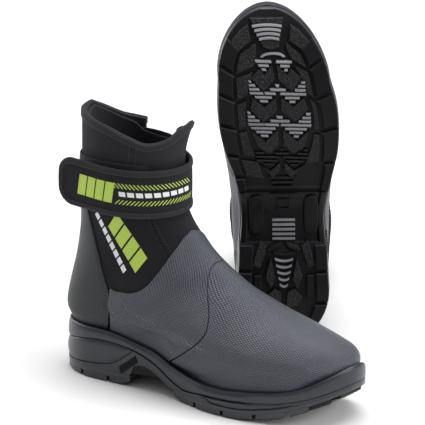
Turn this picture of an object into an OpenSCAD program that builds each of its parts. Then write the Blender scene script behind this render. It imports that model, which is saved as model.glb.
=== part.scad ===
// A pair of ankle-high neoprene water boots with a hook-and-loop strap each.
// The right boot stands on its sole. The left boot stands on its heel with the tread
// towards the viewer. -Y faces the viewer, +Z is up, and the origin is in the middle
// of the pair on the ground.

/* [Boot] */
// Length of the outsole
sole_l = 310; // [285:1:330]
// Thickness of the outer skins of the upper
skin_t = 2; // [1.5:0.1:2.2]
// Thickness of the neoprene bootie inside
liner_t = 3; // [2:0.5:3.5]
// Thickness of the rubber rand round the sole edge
rand_t = 4; // [3:0.25:4.5]
// Depth of the tread
lug_h = 5; // [3:0.5:5]
// Thickness of the footbed
footbed_t = 5; // [3:0.5:6]
// Clear space between neighbouring layers
gap = 0.25; // [0.2:0.05:0.4]

/* [Strap] */
// Height of the strap band
strap_w = 45; // [38:1:46]
// Height of the strap's middle above the ground
strap_z = 187; // [184:1:190]
// Thickness of the strap
strap_t = 2.5; // [2:0.25:3]
// Length of the free tab past the shaft
tab_l = 43.5; // [36:0.5:50]

/* [Pair] */
// Turn of the standing boot, toe towards the viewer
right_yaw = 37.4; // [20:0.1:50]
// Lean of the other boot away from the viewer
left_lean = 3.62; // [1:0.1:5]
// Sideways place of the left boot from the heel of the right one
left_x = 189; // [185:1:260]
// Depth of the left tread behind the heel of the right one
left_y = 26; // [20:1:60]
// Turn of the left boot, shaft towards the right boot
left_turn = 1.5; // [0:0.1:5]

/* [Hidden] */

base_l = 310;
size_k = sole_l / base_l;
// Middle of the pair's outer box, seen from the heel of the right boot
pair_mid = [122.84, 42.67];

rubber = [0.24, 0.25, 0.28];
sole_grey = [0.27, 0.28, 0.31];
mesh_grey = [0.36, 0.37, 0.41];
neoprene = [0.12, 0.12, 0.14];
charcoal = [0.3, 0.3, 0.33];
tread_black = [0.1, 0.1, 0.11];
board_tan = [0.62, 0.5, 0.36];
foam_grey = [0.45, 0.46, 0.48];

// --- Outline and levels of the sole: x along the boot from the heel end ---

heel_r = 47;
toe_x = 246;
toe_l = base_l - toe_x;
toe_n = 1.9;
heel_half = 42.5;
toe_half = 51.5;
HALF = [[47, heel_half], [91, 40.5], [118, 39.2], [136, 41], [158, 45.5], [180, 52],
        [202, 55], [224, 54.8], [246, toe_half]];
MIDDLE = [[0, 0], [60, 0.5], [118, 0.7], [158, 0.5], [202, 4], [224, 5.8], [246, 8.5],
          [279, 12], [310, 14]];
// Underside of the bootie
FOOT = [[0, 32], [60, 32], [100, 30], [140, 23], [170, 18.5], [208, 17], [242, 18.5],
        [273, 24.5], [293, 33], [310, 41]];
// Upper and lower edge of the rand
RAND_TOP = [[0, 46], [30, 48], [65, 48.5], [92, 44], [109, 40.5], [118, 38], [134, 31.5],
            [145, 29], [167, 25.5], [200, 24.5], [228, 27], [242, 28.5], [273, 34], [293, 43],
            [310, 54]];
RAND_LOW = [[0, 27], [36, 36], [62, 38.8], [93, 36], [111, 30.3], [125, 23.8], [134, 19],
            [148, 14], [158, 12.5], [179, 15], [220, 17], [250, 20], [280, 26], [300, 33.5],
            [310, 38.5]];
outsole_t = 9;
heel_outsole_t = 10.5;
heel_end = 91;
fore_start = 141;
// Undersides of the midsole and of the arch piece, with stations for both along the arch
MID_LOW = [[0, heel_outsole_t], [heel_end, heel_outsole_t], [95, 21], [104, 23],
           [111, 21.8], [119, 18], [125, 15.3], [131, 12], [138, outsole_t], [310, outsole_t]];
ARCH_XS = [95, 99.5, 104, 111, 119, 125, 131, 135, 138];
SHANK_LOW = [[92, 12], [104, 12.9], [112, 14], [119, 13.8], [126, 12], [131, 10], [135, 7.6],
             [138, 6], [140.5, 5]];
spring_x = 208;
spring_h = 27;

// --- The last: sections from the collar (row 0) round the heel to the toe ---
// Each row: front x, front z, rear x, rear z, middle y, half-width, front and rear exponent
LAST = [
    [123, 262, 15, 262, 0, 39, 2.1, 2.1],
    [119.5, 240, 15, 240, 0, 39, 2.1, 2.1],
    [116, 216, 15.5, 216, 0, 39.5, 2.1, 2.1],
    [115.5, 192, 15.5, 190, 0, 40, 2.1, 2.1],
    [116.5, 172, 15.5, 166, 0, 40, 2.1, 2.1],
    [126, 155, 14.5, 140, 0, 39.5, 2.0, 2.1],
    [139, 143, 10, 112, 0, 39.5, 1.9, 2.2],
    [152, 133, 4, 84, 0, 40.5, 1.8, 2.4],
    [165, 124.5, 1.8, 60, 0, 41.5, 1.8, 2.8],
    [178, 116.5, 4, 38, 0.5, 43, 1.8, 3],
    [192, 108, 60, 32, 1, 44.5, 1.8, 3],
    [207, 100, 110, 28, 2.5, 47, 1.8, 3],
    [222, 92, 150, 21, 4, 50.5, 1.8, 3],
    [238, 85.5, 185, 17, 5, 52, 1.9, 3],
    [255, 79.5, 215, 17, 7, 49.5, 2, 2.8],
    [272.5, 74.5, 245, 20, 9, 44, 2.1, 2.6],
    [289, 68.5, 270, 26, 11, 35.5, 2.2, 2.4],
    [300.5, 61, 287, 33, 13, 24, 2.2, 2.2],
    [305.5, 51.5, 298, 40, 14, 11, 2.2, 2.2]];
toe_row = len(LAST) - 1;
// Height on the rear of the rand at which the lying boot touches the ground
heel_touch = (RAND_LOW[0][1] + RAND_TOP[0][1]) / 2;
left_lift = size_k * heel_touch * sin(left_lean);
// Height on the shaft to section number
SHAFT_V = [[155, 4.6], [169, 4], [191, 3], [216, 2], [240, 1], [262, 0]];
liner_o = -(skin_t + 2.6);
stiff_out = -(skin_t + 1.4);
stiff_in = stiff_out - 0.6;
side_n = 145;
spread_h = 18;

// --- Seams of the upper, as section number against nominal angle from the front ---
ANKLE_EDGE = [[0, 5.4], [18, 5.68], [32, 6.15], [43, 6.62], [52, 7.12], [60.5, 7.6], [68, 8],
              [75.5, 8.22], [82, 8.22], [88, 8.12], [92, 7.93], [95, 7.6], [97, 7.25],
              [99.2, 6.87], [102.8, 6.32], [106.5, 5.88], [111.5, 5.38], [116.5, 4.82],
              [121, 4.22], [180, 4.22]];
QUARTER_BACK = [[0, 5.4], [18, 5.68], [32, 6.15], [43, 6.62], [52, 7.12], [60.5, 7.6], [68, 8],
                [75.5, 8.22], [82, 8.22], [88, 8.12], [92, 7.93], [94.4, 7.75], [95.2, 8.1],
                [95.9, 8.6], [97, 9], [104.5, 9.35], [115, 9.55], [145, 9.9]];
QUARTER_ANGLES = [0, 12, 24, 36, 48, 60.5, 71, 79, 86, 91, 94.4, 95.2, 95.9, 97, 104.5, 115, 130, 145];
VAMP_SEAM = [[0, 7.85], [8, 7.85], [16, 8.03], [24, 8.47], [31, 9.05], [40.5, 9.85], [53, 10.6],
             [62.5, 11.08], [71, 11.33], [85, 11.45], [110, 11.4], [145, 11.3]];
COUNTER_SIDE = [[4.3, 121], [4.9, 116.5], [5.45, 111.5], [5.95, 106.5], [6.4, 102.8],
                [6.95, 99.2], [7.35, 97], [7.85, 95], [8.35, 94.8], [8.95, 96.2], [9.35, 104.5],
                [9.5, 113], [9.62, 118.5]];
// Lower end of the counter against the share of its width from either side
COUNTER_FOOT = [[0, 9.6], [0.06, 9.56], [0.11, 9.58], [0.17, 9.64], [0.3, 9.4], [0.5, 9]];
// Rim heights of the collar, angle from the front, lateral positive
RIM = [[-180, 250], [-154, 241], [-134, 234], [-120, 232], [-108, 231], [-62, 230],
       [-40, 239], [-22, 247], [0, 244], [18, 237], [47, 233], [70, 239], [95, 245],
       [140, 249], [180, 250]];
LINER_RIM = [[-180, 246], [-154, 237], [-134, 230], [-118, 226], [-104, 219], [-66, 219],
             [-48, 230], [-22, 241], [0, 239], [18, 232], [47, 228], [70, 235], [95, 241],
             [180, 246]];
gusset_top = 222;
flap_edge = -106;
gusset_edge = -60;
ankle_split = 45;
binding_w = 7;
binding_t = 1;
binding_o = gap + 0.2;

// --- Curves ---

function seg(T, x, i = 0) = i >= len(T) - 2 || x < T[i + 1][0] ? i : seg(T, x, i + 1);
function slope(T, i) =
    let (a = max(i - 1, 0), b = min(i + 1, len(T) - 1)) (T[b][1] - T[a][1]) / (T[b][0] - T[a][0]);
// Smooth curve through the rows of a table, held at its ends
function curve(T, at) =
    let (x = max(T[0][0], min(T[len(T) - 1][0], at)), i = seg(T, x), w = T[i + 1][0] - T[i][0],
         t = (x - T[i][0]) / w, t2 = t * t, t3 = t2 * t)
    T[i][1] * (2 * t3 - 3 * t2 + 1) + slope(T, i) * w * (t3 - 2 * t2 + t)
        + T[i + 1][1] * (3 * t2 - 2 * t3) + slope(T, i + 1) * w * (t3 - t2);
function mix(a, b, t) = a + (b - a) * t;
function last_row(v) =
    let (n = len(LAST), i = max(0, min(n - 2, floor(v))), t = v - i, b = LAST[i], c = LAST[i + 1],
         a = i > 0 ? LAST[i - 1] : 2 * b - c, d = i < n - 2 ? LAST[i + 2] : 2 * c - b)
    b + (c - a) * t / 2 + (2 * a - 5 * b + 4 * c - d) * t * t / 2
        + (3 * b - a - 3 * c + d) * t * t * t / 2;
function shaft_v(z) = lookup(z, SHAFT_V);

// --- Sole outline: side is 1 towards the big toe and -1 on the outer side ---

function half_w(x) =
    x < heel_r ? heel_half * sqrt(max(0, 1 - pow((heel_r - x) / heel_r, 2)))
    : x <= toe_x ? curve(HALF, x)
    : toe_half * pow(max(0, 1 - pow((x - toe_x) / toe_l, toe_n)), 1 / toe_n);
function spring(x) = x <= spring_x ? 0 : spring_h * pow((x - spring_x) / (base_l - spring_x), 2);
function edge(x, side, inset, z) =
    [mix(base_l / 2, x, 1 - 2 * inset / base_l),
     curve(MIDDLE, x) + side * half_w(x) * (1 - inset / 46), z];
// Stations along the boot, close together at both ends
function stations(x0, x1, n) = [for (k = [0 : n]) x0 + (x1 - x0) * (1 - cos(180 * k / n)) / 2];
// A point brought inside the sole outline less an inset
function hold(p, inset) =
    let (x = p[0], c = curve(MIDDLE, x), y = p[1] - c)
    x < heel_r ?
        let (r = norm([(heel_r - x) / (heel_r - inset), y / (heel_half - inset)]))
        (r > 1 ? [heel_r - (heel_r - x) / r, c + y / r, p[2]] : p)
    : x > toe_x ?
        let (r = pow(pow((x - toe_x) / (toe_l - inset), toe_n)
                     + pow(abs(y) / (toe_half - inset), toe_n), 1 / toe_n))
        (r > 1 ? [toe_x + (x - toe_x) / r, c + y / r, p[2]] : p)
    : let (h = curve(HALF, x) - inset) [x, c + max(-h, min(h, y)), p[2]];

// --- Surface of the last: section v, angle a from the front, offset o outwards ---

function signed_pow(c, e) = sign(c) * pow(abs(c), e);
function ease(t) = let (k = max(0, min(1, t))) k * k * (3 - 2 * k);
// The forefoot widens towards the rand: how much a section grows at height z
function spread(q, o, x, z) =
    let (half = (q[1] - q[3]) / 2 + o, h = min(0.999, max(0, (q[1] + q[3]) / 2 - z) / half),
         wide = (q[5] + o) * pow(1 - pow(h, q[7]), 1 / q[7]), limit = half_w(x) - rand_t - 1.5 + o,
         along = ease((x - 95) / 30) * (1 - ease((x - 265) / 30)),
         w = along * (1 - ease((z - curve(RAND_TOP, x)) / spread_h)))
    max(1, mix(1, limit / wide, w));
function skin(v, a, o) =
    let (q = last_row(v), e = 2 / (cos(a) > 0 ? q[6] : q[7]),
         front = [q[0], q[1]], rear = [q[2], q[3]], dir = (front - rear) / norm(front - rear),
         p = (front + rear) / 2 + dir * (norm(front - rear) / 2 + o) * signed_pow(cos(a), e),
         y = q[4] - (q[5] + o) * signed_pow(sin(a), e),
         rise = max(0, p[1] - curve(RAND_TOP, p[0])),
         low = curve(FOOT, p[0]) + max(0, liner_o - o),
         k = cos(a) > 0 ? 1 : spread(q, o, p[0], max(low, p[1])), c = curve(MIDDLE, p[0]),
         flat = hold([p[0], c + (y - c) * k, p[1]], rand_t + 1.5 - o - rise / 2))
    [flat[0], flat[1], max(low, flat[2])];
// Angle at which section v reaches the sole line behind the rand
function low_angle(v, a0 = 60, a1 = 175, n = 12) =
    n == 0 ? (a0 + a1) / 2
    : let (a = (a0 + a1) / 2, p = skin(v, a, 0))
      p[2] > curve(FOOT, p[0]) + 4 ? low_angle(v, a, a1, n - 1) : low_angle(v, a0, a, n - 1);
function side_angle(v) = v < 9 ? side_n : mix(side_n, low_angle(max(v, 10)), min(1, v - 9));
// Point from a nominal angle, which is squeezed so that the side ends at the rand
function laid(v, a, o) = skin(v, a * side_angle(v) / side_n, o);

// --- Solids from grids and rings ---

function loop(list, flip) = flip ? [for (i = [len(list) - 1 : -1 : 0]) list[i]] : list;
function split(q) = [[q[0], q[1], q[2]], [q[0], q[2], q[3]]];
// Closed plate between an outer and an inner grid
module plate(outer, inner) {
    rows = len(outer);
    cols = len(outer[0]);
    n = rows * cols;
    i0 = floor((rows - 1) / 2);
    j0 = floor((cols - 1) / 2);
    across = cross(outer[i0 + 1][j0] - outer[i0][j0], outer[i0][j0 + 1] - outer[i0][j0]);
    flip = across * (outer[i0][j0] - inner[i0][j0]) < 0;
    quads = concat(
        [for (i = [0 : rows - 2]) for (j = [0 : cols - 2]) let (k = i * cols + j)
            [k + 1, k + cols + 1, k + cols, k]],
        [for (i = [0 : rows - 2]) for (j = [0 : cols - 2]) let (k = n + i * cols + j)
            [k, k + cols, k + cols + 1, k + 1]],
        [for (j = [0 : cols - 2]) [j + 1, j, n + j, n + j + 1]],
        [for (j = [0 : cols - 2]) let (k = (rows - 1) * cols + j) [k, k + 1, n + k + 1, n + k]],
        [for (i = [0 : rows - 2]) let (k = i * cols) [k, k + cols, n + k + cols, n + k]],
        [for (i = [0 : rows - 2]) let (k = i * cols + cols - 1)
            [k + cols, k, n + k, n + k + cols]]);
    polyhedron([for (r = outer) each r, for (r = inner) each r],
               [for (q = quads) each split(loop(q, flip))]);
}
function centre(ring) = [for (i = [0 : 2]) let (c = [for (p = ring) p[i]]) c * [for (p = c) 1] / len(c)];
function area_vector(ring) =
    let (n = len(ring), c = [for (i = [0 : n - 1]) cross(ring[i] - ring[0], ring[(i + 1) % n] - ring[0])])
    [for (i = [0 : 2]) [for (p = c) p[i]] * [for (p = c) 1]];
// Closed solid through rings of points; a closed one runs back to its first ring
module loft(rings, closed = false) {
    n = len(rings);
    m = len(rings[0]);
    t = min(n - 2, floor(n * 0.75));
    flip = area_vector(rings[t]) * (centre(rings[t + 1]) - centre(rings[t])) < 0;
    last = closed ? n - 1 : n - 2;
    quads = [for (i = [0 : last]) for (j = [0 : m - 1])
        let (a = i * m, b = ((i + 1) % n) * m, k = (j + 1) % m) [b + j, b + k, a + k, a + j]];
    caps = closed ? [] : [for (j = [0 : m - 1]) let (k = (j + 1) % m)
        each [[j, k, n * m], [(n - 1) * m + k, (n - 1) * m + j, n * m + 1]]];
    ends = closed ? [] : [centre(rings[0]), centre(rings[n - 1])];
    polyhedron(concat([for (r = rings) each r], ends),
               concat([for (q = quads) each split(loop(q, flip))], [for (c = caps) loop(c, flip)]));
}
// Plate on the last: where(s, t) gives section and nominal angle, s down and t across
module panel(where, rows, cols, inner_o, outer_o) {
    function grid(o) = [for (i = [0 : rows]) [for (j = [0 : cols])
        let (w = where(i / rows, j / cols)) laid(w[0], w[1], o)]];
    plate(grid(outer_o), grid(inner_o));
}

// --- Upper ---

ring_n = 30;
module liner() {
    // A sock: inside from toe to rim, then outside from rim to toe
    shaft_n = 4;
    foot_rows = concat([5, 6, 7, 8, 8.7], BED_ROWS, [toe_row]);
    function rim_v(a) = shaft_v(curve(LINER_RIM, a));
    function ring(k, o) = [for (j = [0 : ring_n - 1]) let (a = -180 + 360 * j / ring_n)
        skin(k < shaft_n ? mix(rim_v(a), 4, k / (shaft_n - 1)) : foot_rows[k - shaft_n], a, o)];
    n = shaft_n + len(foot_rows);
    color(foam_grey)
        loft(concat([for (k = [n - 1 : -1 : 0]) ring(k, liner_o - liner_t)],
                    [for (k = [0 : n - 1]) ring(k, liner_o)]));
}
module toe_puff() {
    color(board_tan)
        panel(function (s, t) [mix(15.2, toe_row - 0.35, s), mix(-125, 125, t)], 6, 12,
              stiff_in, stiff_out);
}
module heel_stiffener() {
    color(board_tan)
        panel(function (s, t) [mix(5.8, 8.3 - 0.2 * sin(180 * t), s),
                               let (v = mix(5.8, 8.3, s), e = curve(COUNTER_SIDE, v) + 9)
                               mix(e, 360 - e, t)], 9, 12, stiff_in, stiff_out);
}
module vamp() {
    color(mesh_grey)
        panel(function (s, t) [mix(curve(VAMP_SEAM, abs(mix(-side_n, side_n, t))) + 0.03, toe_row, s),
                               mix(-side_n, side_n, t)], 14, 20, -skin_t, 0);
}
module quarter() {
    m = len(QUARTER_ANGLES) - 1;
    angles = concat([for (i = [m : -1 : 1]) -QUARTER_ANGLES[i]], QUARTER_ANGLES);
    color(mesh_grey)
        panel(function (s, t) let (a = angles[round(t * 2 * m)])
                  [mix(curve(QUARTER_BACK, abs(a)) + 0.03, curve(VAMP_SEAM, abs(a)), s), a],
              4, 2 * m, -skin_t, 0);
}
module heel_counter() {
    color(rubber)
        panel(function (s, t) let (v = mix(4.3, curve(COUNTER_FOOT, min(t, 1 - t)), s),
                                   e = curve(COUNTER_SIDE, v) + 1.5)
                  [v, mix(e, 360 - e, t)], 11, 18, -skin_t, 0);
}
// Neoprene panel of the ankle between two angles
module ankle_panel(a0, a1, cols) {
    color(neoprene)
        panel(function (s, t) let (a = mix(a0, a1, t))
                  [mix(3.2, curve(ANKLE_EDGE, abs(a)) - 0.06, s), a], 6, cols, -skin_t, 0);
}
module lateral_ankle_panel() ankle_panel(ankle_split + 0.3, 179.6, 18);
module front_ankle_panel() ankle_panel(-ankle_split, ankle_split, 8);
module medial_ankle_panel() ankle_panel(-179.6, -ankle_split - 0.3, 18);
// The front of the collar turns outwards to a point
function flare(a, z) = 6 * exp(-pow((a + 22) / 30, 2)) * pow(max(0, min(1, (z - 214) / 40)), 1.5);
function collar_at(a, z, o) = skin(shaft_v(z), a, o + flare(a, z));
collar_low = 192.5;
// Piece of the collar between two angles and two heights
module collar_piece(a0, a1, cols, low, top, rows, inner_o, outer_o) {
    function grid(o) = [for (i = [0 : rows]) [for (j = [0 : cols])
        let (a = mix(a0, a1, j / cols)) collar_at(a, mix(low(a), top(a), i / rows), o)]];
    plate(grid(outer_o), grid(inner_o));
}
module collar() {
    color(charcoal)
        collar_piece(gusset_edge, 179.5, 24, function (a) collar_low, function (a) curve(RIM, a), 3,
                     -skin_t, 0);
}
module medial_collar_flap() {
    color(charcoal)
        collar_piece(-179.5, flap_edge, 8, function (a) collar_low, function (a) curve(RIM, a), 3,
                     -skin_t, 0);
}
module gusset() {
    color(neoprene)
        collar_piece(flap_edge + 0.5, gusset_edge - 0.5, 5, function (a) collar_low,
                     function (a) gusset_top, 2, -skin_t, 0);
}
module collar_binding() {
    color(rubber)
        collar_piece(gusset_edge, 179.5, 24, function (a) curve(RIM, a) - binding_w,
                     function (a) curve(RIM, a), 1, binding_o, binding_o + binding_t);
}
module flap_binding() {
    color(rubber)
        collar_piece(-179.5, flap_edge, 8, function (a) curve(RIM, a) - binding_w,
                     function (a) curve(RIM, a), 1, binding_o, binding_o + binding_t);
}

// --- Strap: path in plan, from the front over the outer side to the tab ---

base_o = gap + 0.5;
base_t = 1.6;
pile_t = 1.2;
loop_o = base_o + base_t + gap;
hook_o = loop_o + pile_t + 0.4;
strap_o = hook_o + pile_t + 0.1;
hinge_a = 7;
turn_off = 98;
strap_low = strap_z - strap_w / 2;
strap_high = strap_z + strap_w / 2;
edging_w = 6;
tab_r = 16;
edging_t = 0.7;
// Middle line of the shaft at the strap, offset o, at angle a
function shaft_point(a, o) =
    let (q = last_row(shaft_v(strap_z)), e = 2 / q[6])
    [(q[0] + q[2]) / 2 + ((q[0] - q[2]) / 2 + o) * signed_pow(cos(a), e),
     -(q[5] + o) * signed_pow(sin(a), e)];
// The strap leaves the shaft at turn_off and runs straight on
function strap_point(u, o) =
    u <= 1 ? shaft_point(mix(hinge_a, turn_off, u), o)
    : let (p = shaft_point(turn_off, o), b = shaft_point(turn_off - 2, o), d = (p - b) / norm(p - b))
      p + d * (u - 1) * tab_l;
function tab_half(u, half) =
    let (w = max(0, (u - 2) * tab_l / tab_r + 1)) half - tab_r * (1 - sqrt(max(0, 1 - w * w)));
function strap_ring(u, low, high, o0, o1) = [for (c = [[low, o0], [low, o1], [high, o1], [high, o0]])
    let (p = strap_point(u, c[1])) [p[0], p[1], c[0]]];
arc_n = 14;
corner_us = [for (a = [0 : 15 : 90]) 2 - (1 - sin(a)) * tab_r / tab_l];
strap_us = concat([for (i = [0 : arc_n]) i / arc_n], [1.25, 1.5], corner_us);
module strap_end() {
    color(neoprene)
        loft([for (u = strap_us) let (h = tab_half(u, strap_w / 2 - gap))
            strap_ring(u, strap_z - h, strap_z + h, strap_o, strap_o + strap_t)]);
}
module strap_edging() {
    outer = strap_o + strap_t + gap;
    color(charcoal)
        for (side = [-1, 1])
            loft([for (u = strap_us) let (h = tab_half(u, strap_w / 2))
                strap_ring(u, strap_z + side * max(1, h - edging_w), strap_z + side * h,
                           outer, outer + edging_t)]);
}
module hook_patch() {
    color([0.16, 0.16, 0.17])
        loft([for (u = [0.62 : 0.06 : 1.1])
            strap_ring(u, strap_low + 7, strap_high - 7, hook_o, hook_o + pile_t)]);
}
module loop_patch() {
    color([0.2, 0.2, 0.21])
        loft([for (a = [62 : 8 : 142]) shaft_ring(a, strap_low + 7, strap_high - 7, loop_o,
                                                  loop_o + pile_t)]);
}
function shaft_ring(a, low, high, o0, o1) = [for (c = [[low, o0], [low, o1], [high, o1], [high, o0]])
    let (p = shaft_point(a, c[1])) [p[0], p[1], c[0]]];
module strap_base() {
    // Fixed layer on the outer and rear side, a little higher than the strap at the side
    function high(a) = strap_z + mix(27, 19, max(0, min(1, (a - 75) / 100)));
    color(charcoal)
        loft([for (a = [44 : 8 : 180]) shaft_ring(a, strap_low + 2, high(a), base_o, base_o + base_t)]);
}
module strap_anchor() {
    // Sewn on the inner side, it lifts to the level of the free part at the front
    function lift(a) = mix(base_o, strap_o, max(0, min(1, (a + 60) / 60)));
    color(neoprene)
        loft([for (a = [-112 : 8 : 0]) shaft_ring(a, strap_low, strap_high, lift(a), lift(a) + strap_t),
              shaft_ring(hinge_a - 0.8, strap_low, strap_high, strap_o, strap_o + strap_t)]);
}

// --- Sole ---

rand_n = 22;
module rand_band() {
    xs = stations(0, base_l, rand_n);
    order = concat([for (x = xs) [x, -1]], [for (i = [rand_n - 1 : -1 : 1]) [xs[i], 1]]);
    color(rubber)
        loft([for (k = order) let (low = curve(RAND_LOW, k[0]), top = curve(RAND_TOP, k[0]))
            [edge(k[0], k[1], rand_t, low), edge(k[0], k[1], 0.6, low),
             edge(k[0], k[1], 0, mix(low, top, 0.5)), edge(k[0], k[1], rand_t - 1.4, top),
             edge(k[0], k[1], rand_t, top)]], closed = true);
}
function mid_low(x) = lookup(x, MID_LOW) + spring(x) + gap;
module midsole() {
    xs = concat(stations(1.2, heel_end, 8), ARCH_XS, [146], stations(160, base_l - 1.2, 12));
    rim = rand_t + 0.3;
    color(sole_grey)
        loft([for (x = xs) let (low = mid_low(x), ledge = curve(RAND_LOW, x) - 0.6,
                                top = curve(FOOT, x) - 2.7)
            [edge(x, -1, 1, low), edge(x, -1, 0, mix(low, ledge, 0.5)), edge(x, -1, 0.6, ledge),
             edge(x, -1, rim, ledge), edge(x, -1, rim, top), edge(x, 1, rim, top),
             edge(x, 1, rim, ledge), edge(x, 1, 0.6, ledge), edge(x, 1, 0, mix(low, ledge, 0.5)),
             edge(x, 1, 1, low)]]);
}
// Half-width of the middle field of the forefoot tread
SHIELD = [[148, 12], [165, 17], [190, 26], [212, 28], [240, 23], [262, 12], [275, 9], [310, 5]];
NOTCHES = [158, 178, 207, 236, 262];
notch_w = 4;
step = 0.6;
module forefoot_outsole() {
    xs = concat([fore_start], [for (x = NOTCHES) each [x - notch_w / 2 - step, x - notch_w / 2,
                                                       x + notch_w / 2, x + notch_w / 2 + step]],
                [170, 192, 221, 249, 272, 281, 290, 297, 303, 307, base_l - 1.2]);
    sorted = ascending(xs);
    function cut(x) = min([for (n = NOTCHES) abs(x - n)]) <= notch_w / 2 + step / 4 ? lug_h - 1 : 0;
    color(tread_black)
        loft([for (x = sorted) let (z = spring(x), c = curve(MIDDLE, x), room = half_w(x) - 5,
                                    s = min(curve(SHIELD, x), room * 0.55), w = max(1.8, min(5, room * 0.35)),
                                    deep = x < 290 ? lug_h - 1 : 0, top = outsole_t + z)
            [edge(x, -1, 1, z + cut(x)),
             [x, c - s - w, z + cut(x)], [x, c - s - w + step, z + deep], [x, c - s - step, z + deep],
             [x, c - s, z + 0.4], [x, c + s, z + 0.4], [x, c + s + step, z + deep],
             [x, c + s + w - step, z + deep], [x, c + s + w, z + cut(x)],
             edge(x, 1, 1, z + cut(x)), edge(x, 1, 0, mix(z, top, 0.6)), edge(x, 1, 1, top),
             edge(x, -1, 1, top), edge(x, -1, 0, mix(z, top, 0.6))]]);
}
function ascending(list) =
    len(list) < 2 ? list
    : let (p = list[0], rest = [for (i = [1 : len(list) - 1]) list[i]])
      concat(ascending([for (x = rest) if (x < p) x]), [p], ascending([for (x = rest) if (x >= p) x]));
module heel_plan(inset, x1) {
    xs = stations(0, x1, 12);
    flat_edge = [for (x = xs) let (p = edge(x, -1, inset, 0)) [p[0], p[1]]];
    other = [for (i = [len(xs) - 1 : -1 : 1]) let (p = edge(xs[i], 1, inset, 0)) [p[0], p[1]]];
    polygon(concat(flat_edge, other));
}
heel_notches = [36, 67];
module heel_outsole() {
    color(tread_black) {
        translate([0, 0, lug_h]) linear_extrude(heel_outsole_t - lug_h) heel_plan(0.5, heel_end);
        linear_extrude(lug_h + 0.5) difference() {
            heel_plan(1.5, heel_end - 1);
            for (x = heel_notches, side = [-1, 1])
                translate([x, side * 38]) square([notch_w, 24], center = true);
            difference() {
                translate([20, -26]) square([heel_end, 52]);
                translate([26, -20]) square([heel_end, 40]);
            }
            translate([55, 0]) rotate(45) square(12, center = true);
        }
    }
}
module shank() {
    xs = concat([92], ARCH_XS, [140.5]);
    color(tread_black)
        loft([for (x = xs) let (low = lookup(x, SHANK_LOW), top = mid_low(x) - gap)
            [edge(x, -1, 2, low), edge(x, 1, 2, low), edge(x, 1, 1.2, top), edge(x, -1, 1.2, top)]]);
}
// Flat layer that follows the foot line
module foot_layer(inset, low, top, n) {
    loft([for (x = stations(3, base_l - 3, n)) let (z = curve(FOOT, x))
        [edge(x, -1, inset, z + low), edge(x, 1, inset, z + low),
         edge(x, 1, inset, z + top), edge(x, -1, inset, z + top)]]);
}
module insole_board() color(board_tan) foot_layer(rand_t + 2, -2.2, -0.2, 16);
// Inside the bootie the footbed fills each section up to its own top
bed_o = liner_o - liner_t - 2.2;
BED_ROWS = [9.3, 9.6, 10, 11, 12, 13.5, 15, 16.2, 17.2];
function bed_top(x) = curve(FOOT, x) + liner_t + 2 * gap + footbed_t;
function bed_angle(v, a0 = 95, a1 = 178, n = 12) =
    n == 0 ? (a0 + a1) / 2
    : let (a = (a0 + a1) / 2, p = skin(v, a, bed_o))
      p[2] > bed_top(p[0]) ? bed_angle(v, a, a1, n - 1) : bed_angle(v, a0, a, n - 1);
module footbed() {
    sides = 12;
    color([0.32, 0.34, 0.38])
        loft([for (v = BED_ROWS) let (a = bed_angle(v))
            [for (j = [0 : sides]) skin(v, mix(a, 360 - a, j / sides), bed_o)]]);
}
module arch_badge() {
    color(rubber)
        translate([89, -41.9, 21]) rotate([90, 0, 3]) rotate(38)
            linear_extrude(1) polygon([[-13, -4], [11, -4.5], [13, 4], [-11, 4.5]]);
}

// --- Placing of the two boots ---

module right() {
    translate([-pair_mid[0], -pair_mid[1], 0]) rotate([0, 0, -right_yaw]) scale(size_k) children();
}
module left() {
    translate([left_x - pair_mid[0], left_y - pair_mid[1], left_lift]) rotate([-left_lean, 0, left_turn])
        rotate([0, -90, -90]) mirror([0, 1, 0]) scale(size_k) children();
}

right() liner();  // right_liner
right() toe_puff();  // right_toe_puff
right() heel_stiffener();  // right_heel_stiffener
right() vamp();  // right_vamp
right() quarter();  // right_quarter
right() heel_counter();  // right_heel_counter
right() lateral_ankle_panel();  // right_lateral_ankle_panel
right() front_ankle_panel();  // right_front_ankle_panel
right() medial_ankle_panel();  // right_medial_ankle_panel
right() collar();  // right_collar
right() medial_collar_flap();  // right_medial_collar_flap
right() gusset();  // right_gusset
right() collar_binding();  // right_collar_binding
right() flap_binding();  // right_flap_binding
right() strap_base();  // right_strap_base
right() strap_anchor();  // right_strap_anchor
right() loop_patch();  // right_loop_patch
right() strap_end();  // right_strap_end
right() strap_edging();  // right_strap_edging
right() hook_patch();  // right_hook_patch
right() rand_band();  // right_rand_band
right() midsole();  // right_midsole
right() forefoot_outsole();  // right_forefoot_outsole
right() heel_outsole();  // right_heel_outsole
right() shank();  // right_shank
right() insole_board();  // right_insole_board
right() footbed();  // right_footbed
right() arch_badge();  // right_arch_badge
left() liner();  // left_liner
left() toe_puff();  // left_toe_puff
left() heel_stiffener();  // left_heel_stiffener
left() vamp();  // left_vamp
left() quarter();  // left_quarter
left() heel_counter();  // left_heel_counter
left() lateral_ankle_panel();  // left_lateral_ankle_panel
left() front_ankle_panel();  // left_front_ankle_panel
left() medial_ankle_panel();  // left_medial_ankle_panel
left() collar();  // left_collar
left() medial_collar_flap();  // left_medial_collar_flap
left() gusset();  // left_gusset
left() collar_binding();  // left_collar_binding
left() flap_binding();  // left_flap_binding
left() strap_base();  // left_strap_base
left() strap_anchor();  // left_strap_anchor
left() loop_patch();  // left_loop_patch
left() strap_end();  // left_strap_end
left() strap_edging();  // left_strap_edging
left() hook_patch();  // left_hook_patch
left() rand_band();  // left_rand_band
left() midsole();  // left_midsole
left() forefoot_outsole();  // left_forefoot_outsole
left() heel_outsole();  // left_heel_outsole
left() shank();  // left_shank
left() insole_board();  // left_insole_board
left() footbed();  // left_footbed
left() arch_badge();  // left_arch_badge
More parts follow.
